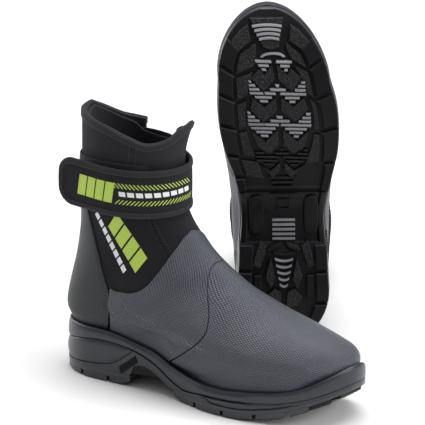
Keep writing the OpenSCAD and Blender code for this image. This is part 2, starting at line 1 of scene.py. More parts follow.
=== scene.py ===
"""Looks of the pair of neoprene boots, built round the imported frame.

Each boot is made in its own space in millimetres: x from the heel end to the toe, y towards
the inner side, z up from the tread. place() takes it to the row frame in metres, and the left
boot is the mirror image of the right one, laid on its back.
"""

import math

import bmesh
import bpy
import mathutils
import numpy as np
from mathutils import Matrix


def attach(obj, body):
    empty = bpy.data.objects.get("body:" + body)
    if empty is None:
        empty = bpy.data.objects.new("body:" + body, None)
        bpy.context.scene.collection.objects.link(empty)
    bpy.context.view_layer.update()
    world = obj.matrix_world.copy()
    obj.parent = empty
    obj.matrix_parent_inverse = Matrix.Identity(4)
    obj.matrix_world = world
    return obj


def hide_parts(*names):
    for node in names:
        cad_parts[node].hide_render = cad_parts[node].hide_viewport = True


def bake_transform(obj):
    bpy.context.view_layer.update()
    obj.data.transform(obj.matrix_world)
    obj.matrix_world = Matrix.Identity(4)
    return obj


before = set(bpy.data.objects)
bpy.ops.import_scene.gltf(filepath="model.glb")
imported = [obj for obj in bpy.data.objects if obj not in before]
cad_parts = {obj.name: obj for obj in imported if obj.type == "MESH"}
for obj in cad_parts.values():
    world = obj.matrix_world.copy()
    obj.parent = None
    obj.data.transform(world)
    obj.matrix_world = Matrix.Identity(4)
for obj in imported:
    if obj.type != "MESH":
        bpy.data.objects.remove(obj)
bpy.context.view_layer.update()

MM = 0.001
EMBOSS_U, EMBOSS_W = 2.3, 4.8

# --- Driving sizes, as in the part's source ---

RIGHT_YAW = 37.4
LEFT_LEAN = 3.62
LEFT_TURN = 1.5
LEFT_AT = (189.0, 26.0)
PAIR_MID = (122.84, 42.67)
BASE_L = 310.0
HEEL_R = 47.0
TOE_X = 246.0
TOE_L = BASE_L - TOE_X
TOE_N = 1.9
HEEL_HALF = 42.5
TOE_HALF = 51.5
LUG_H = 5.0
OUTSOLE_T = 9.0
HEEL_T = 10.5
HEEL_END = 91.0
FORE_START = 141.0
SPRING_X = 208.0
SPRING_H = 27.0
RAND_T = 4.0
SKIN_T = 2.0
LINER_O = -(SKIN_T + 2.6)
LINER_T = 3.0
STRAP_Z = 187.0
STRAP_W = 45.0
TAB_L = 43.5
TAB_R = 16.0
HINGE_A = 7.0
SEWN_A = -112.0
TURN_OFF = 98.0
SIDE_N = 145.0
SPREAD_H = 18.0

HALF = [[47, 42.5], [91, 40.5], [118, 39.2], [136, 41], [158, 45.5], [180, 52], [202, 55],
        [224, 54.8], [246, 51.5]]
MIDDLE = [[0, 0], [60, 0.5], [118, 0.7], [158, 0.5], [202, 4], [224, 5.8], [246, 8.5],
          [279, 12], [310, 14]]
FOOT = [[0, 32], [60, 32], [100, 30], [140, 23], [170, 18.5], [208, 17], [242, 18.5],
        [273, 24.5], [293, 33], [310, 41]]
RAND_TOP = [[0, 46], [30, 48], [65, 48.5], [92, 44], [109, 40.5], [118, 38], [134, 31.5],
            [145, 29], [167, 25.5], [200, 24.5], [228, 27], [242, 28.5], [273, 34], [293, 43],
            [310, 54]]
RAND_LOW = [[0, 27], [36, 36], [62, 38.8], [93, 36], [111, 30.3], [125, 23.8], [134, 19],
            [148, 14], [158, 12.5], [179, 15], [220, 17], [250, 20], [280, 26], [300, 33.5],
            [310, 38.5]]
# Groove that parts the heel tread from the midsole, and on along the arch and forefoot
TREAD_LINE = [[0, 8], [12, 10.5], [37, 13.8], [48, 14.8], [60, 16.2], [70, 18.6], [78, 22.7],
              [84.5, 27.4], [91, 32.4], [96, 35], [141, 14.8], [184, 14.9], [186, 13.7],
              [189, 11.2], [193, 9.6], [200, 9.3], [310, 9.3]]
ARCH_LOW = [[0, 10.5], [91, 10.5], [95, 21], [104, 23], [111, 21.8], [119, 18], [125, 15.3],
            [131, 12], [138, 9], [310, 9]]
SHANK_LOW = [[91, 11.8], [104, 12.9], [112, 14], [119, 13.8], [126, 12], [131, 10], [135, 7.6],
             [138, 6], [141.2, 4.8]]
# Front x, z, rear x, z, middle y, half-width, front and rear exponent of each section
LAST = np.array([
    [123, 262, 15, 262, 0, 39, 2.1, 2.1],
    [119.5, 240, 15, 240, 0, 39, 2.1, 2.1],
    [116, 216, 15.5, 216, 0, 39.5, 2.1, 2.1],
    [115.5, 192, 15.5, 190, 0, 40, 2.1, 2.1],
    [116.5, 172, 15.5, 166, 0, 40, 2.1, 2.1],
    [126, 155, 14.5, 140, 0, 39.5, 2.0, 2.1],
    [139, 143, 10, 112, 0, 39.5, 1.9, 2.2],
    [152, 133, 4, 84, 0, 40.5, 1.8, 2.4],
    [165, 124.5, 1.8, 60, 0, 41.5, 1.8, 2.8],
    [178, 116.5, 4, 38, 0.5, 43, 1.8, 3],
    [192, 108, 60, 32, 1, 44.5, 1.8, 3],
    [207, 100, 110, 28, 2.5, 47, 1.8, 3],
    [222, 92, 150, 21, 4, 50.5, 1.8, 3],
    [238, 85.5, 185, 17, 5, 52, 1.9, 3],
    [255, 79.5, 215, 17, 7, 49.5, 2, 2.8],
    [272.5, 74.5, 245, 20, 9, 44, 2.1, 2.6],
    [289, 68.5, 270, 26, 11, 35.5, 2.2, 2.4],
    [300.5, 61, 287, 33, 13, 24, 2.2, 2.2],
    [305.5, 51.5, 298, 40, 14, 11, 2.2, 2.2]], float)
TOE_ROW = len(LAST) - 1
SHAFT_V = [[155, 4.6], [169, 4], [191, 3], [216, 2], [240, 1], [262, 0]]
ANKLE_EDGE = [[0, 5.4], [18, 5.68], [32, 6.15], [43, 6.62], [52, 7.12], [60.5, 7.6], [68, 8],
              [75.5, 8.22], [82, 8.22], [88, 8.12], [92, 7.93], [95, 7.6], [97, 7.25],
              [99.2, 6.87], [102.8, 6.32], [106.5, 5.88], [111.5, 5.38], [116.5, 4.82],
              [121, 4.22], [180, 4.22]]
QUARTER_BACK = [[0, 5.4], [18, 5.68], [32, 6.15], [43, 6.62], [52, 7.12], [60.5, 7.6], [68, 8],
                [75.5, 8.22], [82, 8.22], [88, 8.12], [92, 7.93], [94.4, 7.75], [95.2, 8.1],
                [95.9, 8.6], [97, 9], [104.5, 9.35], [115, 9.55], [145, 9.9]]
VAMP_SEAM = [[0, 7.85], [8, 7.85], [16, 8.03], [24, 8.47], [31, 9.05], [40.5, 9.85], [53, 10.6],
             [62.5, 11.08], [71, 11.33], [85, 11.45], [110, 11.4], [145, 11.3]]
COUNTER_SIDE = [[4.3, 121], [4.9, 116.5], [5.45, 111.5], [5.95, 106.5], [6.4, 102.8],
                [6.95, 99.2], [7.35, 97], [7.85, 95], [8.35, 94.8], [8.95, 96.2], [9.35, 104.5],
                [9.5, 113], [9.62, 118.5]]
COUNTER_FOOT = [[0, 9.6], [0.06, 9.56], [0.11, 9.58], [0.17, 9.64], [0.3, 9.4], [0.5, 9]]
RIM = [[-180, 250], [-154, 241], [-134, 234], [-120, 232], [-108, 231], [-62, 230],
       [-40, 239], [-22, 247], [0, 244], [18, 237], [47, 233], [70, 239], [95, 245],
       [140, 249], [180, 250]]
LINER_RIM = [[-180, 246], [-154, 237], [-134, 230], [-118, 226], [-104, 219], [-66, 219],
             [-48, 230], [-22, 241], [0, 239], [18, 232], [47, 228], [70, 235], [95, 241],
             [180, 246]]


# --- Curves and the last ---

def curve(table, at):
    """Smooth curve through a table's rows, held at its ends."""
    t = np.asarray(table, float)
    x, y = t[:, 0], t[:, 1]
    at = np.clip(np.asarray(at, float), x[0], x[-1])
    i = np.clip(np.searchsorted(x, at, side="right") - 1, 0, len(x) - 2)
    lo, hi = np.maximum(np.arange(len(x)) - 1, 0), np.minimum(np.arange(len(x)) + 1, len(x) - 1)
    m = (y[hi] - y[lo]) / (x[hi] - x[lo])
    w = x[i + 1] - x[i]
    s = (at - x[i]) / w
    s2, s3 = s * s, s * s * s
    return (y[i] * (2 * s3 - 3 * s2 + 1) + m[i] * w * (s3 - 2 * s2 + s)
            + y[i + 1] * (3 * s2 - 2 * s3) + m[i + 1] * w * (s3 - s2))


def line(table, at):
    t = np.asarray(table, float)
    return np.interp(at, t[:, 0], t[:, 1])


def mix(a, b, t):
    return a + (b - a) * t


def smooth(x):
    x = np.clip(x, 0, 1)
    return x * x * (3 - 2 * x)


def last_row(v):
    n = len(LAST)
    v = np.clip(np.asarray(v, float), 0, n - 1)
    i = np.clip(np.floor(v).astype(int), 0, n - 2)
    t = (v - i)[..., None]
    b, c = LAST[i], LAST[i + 1]
    a = np.where((i > 0)[..., None], LAST[np.maximum(i - 1, 0)], 2 * b - c)
    d = np.where((i < n - 2)[..., None], LAST[np.minimum(i + 2, n - 1)], 2 * c - b)
    return (b + (c - a) * t / 2 + (2 * a - 5 * b + 4 * c - d) * t * t / 2
            + (3 * b - a - 3 * c + d) * t ** 3 / 2)


def half_w(x):
    x = np.asarray(x, float)
    heel = HEEL_HALF * np.sqrt(np.clip(1 - ((HEEL_R - x) / HEEL_R) ** 2, 0, 1))
    toe = TOE_HALF * np.clip(1 - (np.clip(x - TOE_X, 0, TOE_L) / TOE_L) ** TOE_N, 0, 1) ** (1 / TOE_N)
    return np.where(x < HEEL_R, heel, np.where(x <= TOE_X, curve(HALF, x), toe))


def spring(x):
    x = np.asarray(x, float)
    return np.where(x <= SPRING_X, 0, SPRING_H * ((x - SPRING_X) / (BASE_L - SPRING_X)) ** 2)


def tuck(x):
    """Rise of the tread's underside towards the arch, at the heel's front and the ball's rear."""
    x = np.asarray(x, float)
    heel = 4.6 * smooth((x - 79) / 14) * (x < 96)
    return heel + 4.4 * (1 - smooth((x - 139) / 11)) * (x > 137)


def edge(x, side, inset):
    """Plan point on the sole outline less an inset; side 1 is the inner side."""
    x = np.asarray(x, float)
    return (mix(BASE_L / 2, x, 1 - 2 * inset / BASE_L),
            curve(MIDDLE, x) + side * half_w(x) * (1 - inset / 46))


def soft_one(r, soft=0.05):
    """The larger of r and 1, rounded where they meet."""
    return (r + 1 + np.sqrt((r - 1) ** 2 + soft ** 2)) / 2 - soft * 0.3


def hold(x, y, inset):
    """Brings plan points inside the sole outline less an inset."""
    c = curve(MIDDLE, x)
    q = y - c
    ra = np.maximum(HEEL_R - inset, 1)
    rb = np.maximum(HEEL_HALF - inset, 1)
    r1 = soft_one(np.hypot((HEEL_R - x) / ra, q / rb))
    ta, tb = np.maximum(TOE_L - inset, 1), np.maximum(TOE_HALF - inset, 1)
    r2 = soft_one((np.abs((x - TOE_X) / ta) ** TOE_N + np.abs(q / tb) ** TOE_N) ** (1 / TOE_N))
    h = curve(HALF, x) - inset
    heel, toe = x < HEEL_R, x > TOE_X
    nx = np.where(heel, HEEL_R - (HEEL_R - x) / r1, np.where(toe, TOE_X + (x - TOE_X) / r2, x))
    nq = np.where(heel, q / r1, np.where(toe, q / r2, q / soft_one(np.abs(q) / h)))
    return nx, c + nq


def signed_pow(c, e):
    return np.sign(c) * np.abs(c) ** e


def ripple(v, a):
    """Soft unevenness of the hand-laid upper, less than a millimetre."""
    r = np.radians(a)
    return (0.28 * np.sin(1.7 * v + 2.1 * np.sin(r)) + 0.22 * np.sin(3.1 * r + 1.3 * v)
            + 0.16 * np.sin(5.3 * r - 2.3 * v)) * smooth((v - 2) / 2) * (1 - smooth((v - 15) / 3))


def spread(q, o, base, x, z):
    """How much a section of the forefoot widens towards the rand at height z."""
    half = np.maximum((q[..., 1] - q[..., 3]) / 2 + o, 1)
    h = np.clip(((q[..., 1] + q[..., 3]) / 2 - z) / half, 0, 0.999)
    wide = (q[..., 5] + o) * (1 - h ** q[..., 7]) ** (1 / q[..., 7])
    limit = half_w(x) - RAND_T - 1.5 + base
    along = smooth((x - 95) / 30) * (1 - smooth((x - 265) / 30))
    w = along * (1 - smooth((z - curve(RAND_TOP, x)) / SPREAD_H))
    return np.maximum(1, mix(1, limit / wide, w))


def skin(v, a, o):
    """Point of the last at section v and angle a from the front, o outside it."""
    v, a, o = np.broadcast_arrays(np.asarray(v, float), np.asarray(a, float), np.asarray(o, float))
    base, o = o, o + ripple(v, a)
    q = last_row(v)
    r = np.radians(a)
    e = 2 / np.where(np.cos(r) > 0, q[..., 6], q[..., 7])
    dx, dz = q[..., 0] - q[..., 2], q[..., 1] - q[..., 3]
    n = np.hypot(dx, dz)
    k = (n / 2 + o) * signed_pow(np.cos(r), e) / n
    x = (q[..., 0] + q[..., 2]) / 2 + dx * k
    z = (q[..., 1] + q[..., 3]) / 2 + dz * k
    y = q[..., 4] - (q[..., 5] + o) * signed_pow(np.sin(r), e)
    rise = np.maximum(0, z - curve(RAND_TOP, x))
    low = curve(FOOT, x) + np.maximum(0, LINER_O - base)
    wider = np.where(np.cos(r) > 0, 1, spread(q, o, base, x, np.maximum(low, z)))
    c = curve(MIDDLE, x)
    hx, hy = hold(x, c + (y - c) * wider, RAND_T + 1.5 - base - rise / 2)
    return np.stack([hx, hy, np.maximum(low, z)], -1)


def _side_angles():
    """Angle at which each section reaches the sole line behind the rand."""
    v = np.linspace(10, TOE_ROW, 90)
    a0, a1 = np.full(v.shape, 60.0), np.full(v.shape, 175.0)
    for _ in range(16):
        a = (a0 + a1) / 2
        p = skin(v, a, 0)
        above = p[:, 2] > curve(FOOT, p[:, 0]) + 4
        a0, a1 = np.where(above, a, a0), np.where(above, a1, a)
    return v, (a0 + a1) / 2


SIDE_V, SIDE_A = _side_angles()


def side_angle(v):
    low = np.interp(np.maximum(v, 10), SIDE_V, SIDE_A)
    return np.where(v < 9, SIDE_N, mix(SIDE_N, low, np.clip(v - 9, 0, 1)))


def laid(v, a, o):
    """As skin, from a nominal angle, so that every side ends behind the rand."""
    return skin(v, a * side_angle(v) / SIDE_N, o)


def shaft_v(z):
    return line(SHAFT_V, z)


def flare(a, z):
    return 6 * np.exp(-((a + 22) / 30) ** 2) * np.clip((z - 214) / 40, 0, 1) ** 1.5


def collar_at(a, z, o):
    return skin(shaft_v(z), a, o + flare(a, z))


def shaft_point(a, o):
    """Plan point of the shaft at the strap's height."""
    q = last_row(shaft_v(STRAP_Z))
    r, e = np.radians(a), 2 / q[6]
    return np.stack([(q[0] + q[2]) / 2 + ((q[0] - q[2]) / 2 + o) * signed_pow(np.cos(r), e),
                     -(q[5] + o) * signed_pow(np.sin(r), e)], -1)


# --- From boot space to the row frame ---

def turn(p, axis, deg):
    i, j = {"x": (1, 2), "y": (2, 0), "z": (0, 1)}[axis]
    c, s = math.cos(math.radians(deg)), math.sin(math.radians(deg))
    out = p.copy()
    out[..., i], out[..., j] = p[..., i] * c - p[..., j] * s, p[..., i] * s + p[..., j] * c
    return out


def place(p, side):
    p = np.asarray(p, float)
    if side == "right":
        q = turn(p, "z", -RIGHT_YAW) - [PAIR_MID[0], PAIR_MID[1], 0]
    else:
        q = np.stack([-p[..., 1], p[..., 2], p[..., 0]], -1)
        q = turn(turn(q, "x", -LEFT_LEAN), "z", LEFT_TURN)
        lift = (RAND_LOW[0][1] + RAND_TOP[0][1]) / 2 * math.sin(math.radians(LEFT_LEAN))
        q = q + [LEFT_AT[0] - PAIR_MID[0], LEFT_AT[1] - PAIR_MID[1], lift]
    return q * MM


# --- Materials ---

class Nodes:
    """A small helper round one material's node tree."""

    def __init__(self, name, color, rough, **sockets):
        self.mat = bpy.data.materials.new(name)
        self.mat.use_nodes = True
        self.tree = self.mat.node_tree
        self.bsdf = self.tree.nodes["Principled BSDF"]
        self.bsdf.inputs["Base Color"].default_value = (*color, 1)
        self.bsdf.inputs["Roughness"].default_value = rough
        for key, value in sockets.items():
            self.bsdf.inputs[key.replace("_", " ")].default_value = value
        self.color = color

    def add(self, kind, links=None, **props):
        n = self.tree.nodes.new(kind)
        for key, value in props.items():
            setattr(n, key, value)
        for key, value in (links or {}).items():
            if isinstance(value, bpy.types.NodeSocket):
                self.tree.links.new(value, n.inputs[key])
            else:
                n.inputs[key].default_value = value
        return n

    def math(self, op, a, b=0.0, c=0.0):
        return self.add("ShaderNodeMath", {0: a, 1: b, 2: c}, operation=op).outputs[0]

    def link(self, out, socket):
        self.tree.links.new(out, self.bsdf.inputs[socket])

    def uv(self, scale=1.0):
        """The piece's own surface coordinates, in millimetres."""
        n = self.add("ShaderNodeUVMap", uv_map="cloth")
        s = self.add("ShaderNodeVectorMath", {0: n.outputs[0], 3: scale}, operation="SCALE")
        return s.outputs[0]

    def cloth(self, scale=1.0):
        """The two surface coordinates apart."""
        sep = self.add("ShaderNodeSeparateXYZ", {0: self.uv(scale)})
        return sep.outputs[0], sep.outputs[1]

    def ridges(self, x, pitch=1.0):
        """Rounded ridges across x, from 0 to 1."""
        return self.math("ABSOLUTE", self.math("SINE", self.math("MULTIPLY", x, math.pi / pitch)))

    def paint(self, pattern, gain, base, blot, depth=0.5, least=0.75):
        """Tints the colour by a pattern and by soft blotches."""
        tone = self.math("MULTIPLY", self.math("MULTIPLY_ADD", pattern, gain, base),
                         self.math("MULTIPLY_ADD", blot, depth, least))
        n = self.add("ShaderNodeVectorMath", {0: (*self.color,), 3: tone}, operation="SCALE")
        self.link(n.outputs[0], "Base Color")

    def place(self, scale=1000.0):
        """Place in the frame, in millimetres."""
        n = self.add("ShaderNodeTexCoord")
        s = self.add("ShaderNodeVectorMath", {0: n.outputs["Object"], 3: scale}, operation="SCALE")
        return s.outputs[0]

    def noise(self, vector, scale, detail=3.0, rough=0.55):
        return self.add("ShaderNodeTexNoise", {"Vector": vector, "Scale": scale, "Detail": detail,
                                               "Roughness": rough}).outputs["Fac"]

    def ramp(self, fac, stops):
        n = self.add("ShaderNodeValToRGB", {"Fac": fac})
        r = n.color_ramp
        while len(r.elements) < len(stops):
            r.elements.new(0.5)
        for e, (at, value) in zip(r.elements, stops):
            e.position = at
            e.color = (*value, 1) if isinstance(value, tuple) else (value, value, value, 1)
        return n.outputs["Color"]

    def scaled(self, k):
        return tuple(min(1, c * k) for c in self.color)

    def bump(self, *layers):
        """layers are (height, distance in millimetres, strength)."""
        normal = None
        for height, distance, strength in layers:
            links = {"Height": height, "Distance": distance * MM, "Strength": strength}
            if normal is not None:
                links["Normal"] = normal
            normal = self.add("ShaderNodeBump", links).outputs[0]
        self.link(normal, "Normal")


def rubber(name, color, rough, grain=0.05, gloss=0.0, spec=0.5):
    """Moulded rubber: fine grain, blotchy shine and pale scuffs."""
    m = Nodes(name, color, rough, Coat_Weight=gloss, Coat_Roughness=0.25, Specular_IOR_Level=spec)
    at = m.place()
    blot = m.noise(at, 0.045, 4)
    fine = m.noise(at, 2.2, 2)
    m.link(m.ramp(blot, [(0.3, m.scaled(0.82)), (0.7, m.scaled(1.2))]), "Base Color")
    m.link(m.math("MULTIPLY_ADD", blot, 0.22, rough - 0.11), "Roughness")
    m.bump((m.noise(at, 0.25, 2), 0.25, 0.35), (fine, grain, 0.6))
    return m.mat


def embossed(name, color):
    """Rubber skin with a pressed mesh: tall diamonds between fine grooves. The diamonds are painted
    lighter and the grooves darker, as painted highlight and painted shade over the mesh's bump.
    """
    m = Nodes(name, color, 0.4, Coat_Weight=0.15, Coat_Roughness=0.3)
    u, w = m.cloth()
    a = m.math("ADD", m.math("DIVIDE", u, EMBOSS_U), m.math("DIVIDE", w, EMBOSS_W))
    b = m.math("SUBTRACT", m.math("DIVIDE", u, EMBOSS_U), m.math("DIVIDE", w, EMBOSS_W))
    cell = m.math("MULTIPLY", m.ridges(a), m.ridges(b))
    at = m.place()
    blot = m.noise(at, 0.02, 3)
    wear = m.noise(at, 0.35, 4)
    # The mesh pattern lightens the diamonds and darkens the grooves in the colour: painted highlight and
    # painted shade.
    m.paint(cell, 1.6, 0.34, blot)
    m.link(m.math("MULTIPLY_ADD", wear, 0.2, 0.3), "Roughness")
    m.bump((m.noise(at, 0.09, 2), 0.5, 0.4), (cell, 0.4, 1.0))
    return m.mat


def knit(name, color, pitch=0.55, sheen=0.04, rough=0.9):
    """Jersey-faced neoprene: rows of small stitches and a soft sheen."""
    m = Nodes(name, color, rough, Sheen_Weight=sheen, Sheen_Roughness=0.45, Specular_IOR_Level=0.3)
    u, w = m.cloth(1 / pitch)
    zig = m.math("MULTIPLY", m.math("SINE", m.math("MULTIPLY", w, 2 * math.pi)), 0.22)
    rib = m.ridges(m.math("ADD", u, zig))
    loops = m.math("MULTIPLY", rib, m.math("MULTIPLY_ADD", m.ridges(w), 0.5, 0.5))
    at = m.place()
    blot = m.noise(at, 0.03, 4)
    lint = m.noise(at, 3.0, 2)
    m.paint(loops, 0.45, 0.72, blot)
    m.bump((m.noise(at, 0.07, 2), 0.5, 0.4), (lint, 0.06, 0.5), (loops, 0.14, 0.8))
    return m.mat


def tape(name, color):
    """Woven binding: ribs across a fine weave."""
    m = Nodes(name, color, 0.8, Sheen_Weight=0.05, Sheen_Roughness=0.4, Specular_IOR_Level=0.35)
    u, w = m.cloth()
    weave = m.math("MULTIPLY", m.ridges(u, 0.9), m.math("MULTIPLY_ADD", m.ridges(w, 0.5), 0.4, 0.6))
    at = m.place()
    blot = m.noise(at, 0.05, 4)
    m.paint(weave, 0.5, 0.7, blot, 0.4, 0.8)
    m.bump((m.noise(at, 0.12, 2), 0.3, 0.4), (weave, 0.16, 0.8))
    return m.mat


def pile(name, color, size):
    """Hook or loop pile: a dense random nap."""
    m = Nodes(name, color, 0.95, Sheen_Weight=0.3, Sheen_Roughness=0.6)
    at = m.place()
    cells = m.add("ShaderNodeTexVoronoi", {"Vector": at, "Scale": 1 / size}).outputs["Distance"]
    m.link(m.ramp(cells, [(0.1, m.scaled(1.7)), (0.7, m.scaled(0.5))]), "Base Color")
    m.bump((m.noise(at, 0.2, 2), 0.4, 0.4), (cells, -0.5, 1.0))
    return m.mat


def stippled(name, color):
    """Tread rubber with moulded dots."""
    m = Nodes(name, color, 0.5, Specular_IOR_Level=0.3)
    at = m.place()
    cells = m.add("ShaderNodeTexVoronoi", {"Vector": at, "Scale": 0.72}).outputs["Distance"]
    dots = m.ramp(cells, [(0.2, 1.0), (0.5, 0.0)])
    blot = m.noise(at, 0.05, 3)
    m.paint(dots, 1.9, 0.35, blot)
    m.bump((dots, 0.5, 1.0))
    return m.mat


def ink(name, color):
    """Screen print, a little cracked over the knit below."""
    m = Nodes(name, color, 0.5)
    at = m.place()
    crack = m.noise(at, 0.9, 4, 0.7)
    m.link(m.ramp(crack, [(0.28, m.scaled(0.72)), (0.42, m.scaled(1.0))]), "Base Color")
    m.bump((m.noise(at, 1.8, 2), 0.12, 0.7))
    return m.mat


def thread(name, color):
    m = Nodes(name, color, 0.6, Sheen_Weight=0.2)
    at = m.place()
    twist = m.add("ShaderNodeTexWave", {"Vector": at, "Scale": 1.4, "Distortion": 1.0}).outputs["Fac"]
    m.link(m.ramp(twist, [(0.2, m.scaled(0.7)), (0.8, m.scaled(1.15))]), "Base Color")
    m.bump((twist, 0.1, 0.7))
    return m.mat


M = {
    "emboss": embossed("rubber_skin_embossed", (0.05, 0.054, 0.073)),
    "counter": rubber("rubber_counter", (0.0115, 0.0132, 0.0165), 0.5, spec=0.4),
    "sole": rubber("rubber_sole", (0.0165, 0.0185, 0.027), 0.4, gloss=0.25, spec=0.4),
    # The lug walls and the tread are one rubber in two copies: the walls lighter and bluer, painted
    # light, and the tread near-black, painted shade.
    "wall": rubber("rubber_lug_wall_painted_lit", (0.016, 0.0175, 0.024), 0.38, gloss=0.25),
    "tread": rubber("rubber_tread_painted_shade", (0.0042, 0.0042, 0.0052), 0.42, spec=0.2),
    "stipple": stippled("rubber_tread_stippled", (0.0115, 0.0115, 0.0135)),
    "bar": rubber("rubber_bar_grey", (0.2, 0.2, 0.215), 0.5),
    "ankle": knit("neoprene_ankle", (0.009, 0.0085, 0.0115)),
    "collar": knit("neoprene_collar", (0.0175, 0.017, 0.0215)),
    "lining": knit("neoprene_lining", (0.021, 0.021, 0.026), 0.8),
    "strap": knit("neoprene_strap", (0.011, 0.011, 0.014), 0.5),
    "tape": tape("binding_tape", (0.016, 0.016, 0.0195)),
    "loop": pile("loop_pile", (0.01, 0.01, 0.012), 1.0),
    "hook": pile("hook_pile", (0.012, 0.012, 0.013), 0.7),
    "board": rubber("fibre_board", (0.36, 0.26, 0.16), 0.8),
    "lime": ink("print_lime", (0.46, 0.62, 0.08)),
    "white": ink("print_white", (0.78, 0.78, 0.8)),
    "thread": thread("thread_charcoal", (0.03, 0.03, 0.034)),
    "bed": knit("footbed_cover", (0.05, 0.055, 0.065), 0.9),
}


# --- Mesh helpers ---

def grid_faces(rows, cols, wrap_rows=False, wrap_cols=False, base=0):
    i = np.arange(rows if wrap_rows else rows - 1)[:, None]
    j = np.arange(cols if wrap_cols else cols - 1)[None, :]
    i2, j2 = (i + 1) % rows, (j + 1) % cols
    f = np.stack(np.broadcast_arrays(i * cols + j, i2 * cols + j, i2 * cols + j2, i * cols + j2), -1)
    return (f.reshape(-1, 4) + base).tolist()


class Shape:
    """Vertices, faces, surface coordinates and material numbers of one piece."""

    def __init__(self):
        self.v, self.f, self.uv, self.m = [], [], [], []
        self.n = 0

    def add(self, verts, faces, uv=None, mat=0):
        verts = np.asarray(verts, float).reshape(-1, 3)
        uv = np.zeros((len(verts), 2)) if uv is None else np.asarray(uv, float).reshape(-1, 2)
        self.v.append(verts)
        self.uv.append(uv)
        self.f += [[k + self.n for k in f] for f in faces]
        self.m += [mat] * len(faces)
        self.n += len(verts)

    def sheet(self, outer, inner, uv=None, mat=0):
        """Closed plate between two grids, its outer face first."""
        rows, cols = outer.shape[:2]
        n = rows * cols
        if uv is None:
            uv = lengths(outer)
        faces = grid_faces(rows, cols)
        faces += [f[::-1] for f in grid_faces(rows, cols, base=n)]
        rim = ([(0, j) for j in range(cols)] + [(i, cols - 1) for i in range(1, rows)]
               + [(rows - 1, j) for j in range(cols - 2, -1, -1)]
               + [(i, 0) for i in range(rows - 2, 0, -1)])
        k = [i * cols + j for i, j in rim]
        faces += [[k[a], k[(a + 1) % len(k)], n + k[(a + 1) % len(k)], n + k[a]]
                  for a in range(len(k))]
        self.add(np.concatenate([outer.reshape(-1, 3), inner.reshape(-1, 3)]), faces,
                 np.concatenate([uv.reshape(-1, 2)] * 2), mat)

    def tube(self, rings, wrap=False, mat=0, uv=None):
        """Skin through closed rings, with flat ends unless it wraps."""
        rings = np.asarray(rings, float)
        rows, cols = rings.shape[:2]
        faces = grid_faces(rows, cols, wrap_rows=wrap, wrap_cols=True)
        if not wrap:
            faces += [list(range(cols)), [(rows - 1) * cols + j for j in range(cols - 1, -1, -1)]]
        self.add(rings, faces, lengths(rings) if uv is None else uv, mat)


def lengths(g):
    """Surface coordinates of a grid in millimetres, from its own edge lengths."""
    along = np.linalg.norm(np.diff(g, axis=1), axis=2)
    down = np.linalg.norm(np.diff(g, axis=0), axis=2)
    u = np.concatenate([np.zeros((g.shape[0], 1)), np.cumsum(along, 1)], 1)
    u = u - u[:, [g.shape[1] // 2]]
    w = np.concatenate([np.zeros((1, g.shape[1])), np.cumsum(down, 0)], 0)
    return np.stack([u, w], -1)


def build(name, side, shape, mats, body, nodes=(), bevel=0.0, sharp=50):
    """One Blender piece of a boot from a shape in boot space."""
    p = np.concatenate(shape.v)
    faces = shape.f
    if side == "right":
        faces = [f[::-1] for f in faces]
    mesh = bpy.data.meshes.new(f"{side}_{name}")
    mesh.from_pydata(place(p, side).tolist(), [], faces)
    mesh.validate(clean_customdata=False)
    uv = np.concatenate(shape.uv)
    layer = mesh.uv_layers.new(name="cloth")
    loops = np.empty(len(mesh.loops), int)
    mesh.loops.foreach_get("vertex_index", loops)
    layer.data.foreach_set("uv", uv[loops].astype(np.float32).ravel())
    for m in mats:
        mesh.materials.append(M[m])
    if len(mats) > 1 and len(mesh.polygons) == len(shape.m):
        mesh.polygons.foreach_set("material_index", shape.m)
    mesh.polygons.foreach_set("use_smooth", [True] * len(mesh.polygons))
    mesh.update()
    obj = bpy.data.objects.new(f"{side}_{name}_v", mesh)
    bpy.context.scene.collection.objects.link(obj)
    fix_normals(mesh)
    if bevel:
        mod = obj.modifiers.new("edge", "BEVEL")
        mod.width = bevel * MM
        mod.segments = 2
        mod.limit_method = "ANGLE"
        mod.angle_limit = math.radians(sharp)
    mesh.set_sharp_from_angle(angle=math.radians(sharp))
    if body:
        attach(obj, f"{side}_{body}")
    if nodes:
        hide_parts(*[f"{side}_{n}" for n in nodes])
    return obj


def fix_normals(mesh):
    bm = bmesh.new()
    bm.from_mesh(mesh)
    bmesh.ops.recalc_face_normals(bm, faces=bm.faces)
    bm.to_mesh(mesh)
    bm.free()


# --- Upper ---

RUBBER_OUT, RUBBER_IN = 0.35, -0.85
KNIT_OUT, KNIT_IN = -1.0, -3.2


def st(rows, cols):
    s, t = np.meshgrid(np.linspace(0, 1, rows), np.linspace(0, 1, cols), indexing="ij")
    return s, t


def puff(s, t, rows_mm, cols_mm, depth, reach=7.0):
    """A soft panel sinks towards its sewn edges."""
    d = np.minimum(np.minimum(s, 1 - s) * rows_mm, np.minimum(t, 1 - t) * cols_mm)
    return -depth * (1 - smooth(d / reach)) ** 2


def vamp(side):
    s, t = st(90, 120)
    a = mix(-SIDE_N, SIDE_N, t)
    v = mix(curve(VAMP_SEAM, np.abs(a)) + 0.02, TOE_ROW, s)
    shape = Shape()
    outer = laid(v, a, RUBBER_OUT + puff(s, t, 150, 300, 0.2, 2.2))
    shape.sheet(outer, laid(v, a, RUBBER_IN - 0.5), run_uv(v, a))
    return build("vamp", side, shape, ["emboss"], "boot", ["vamp"], 0.35)


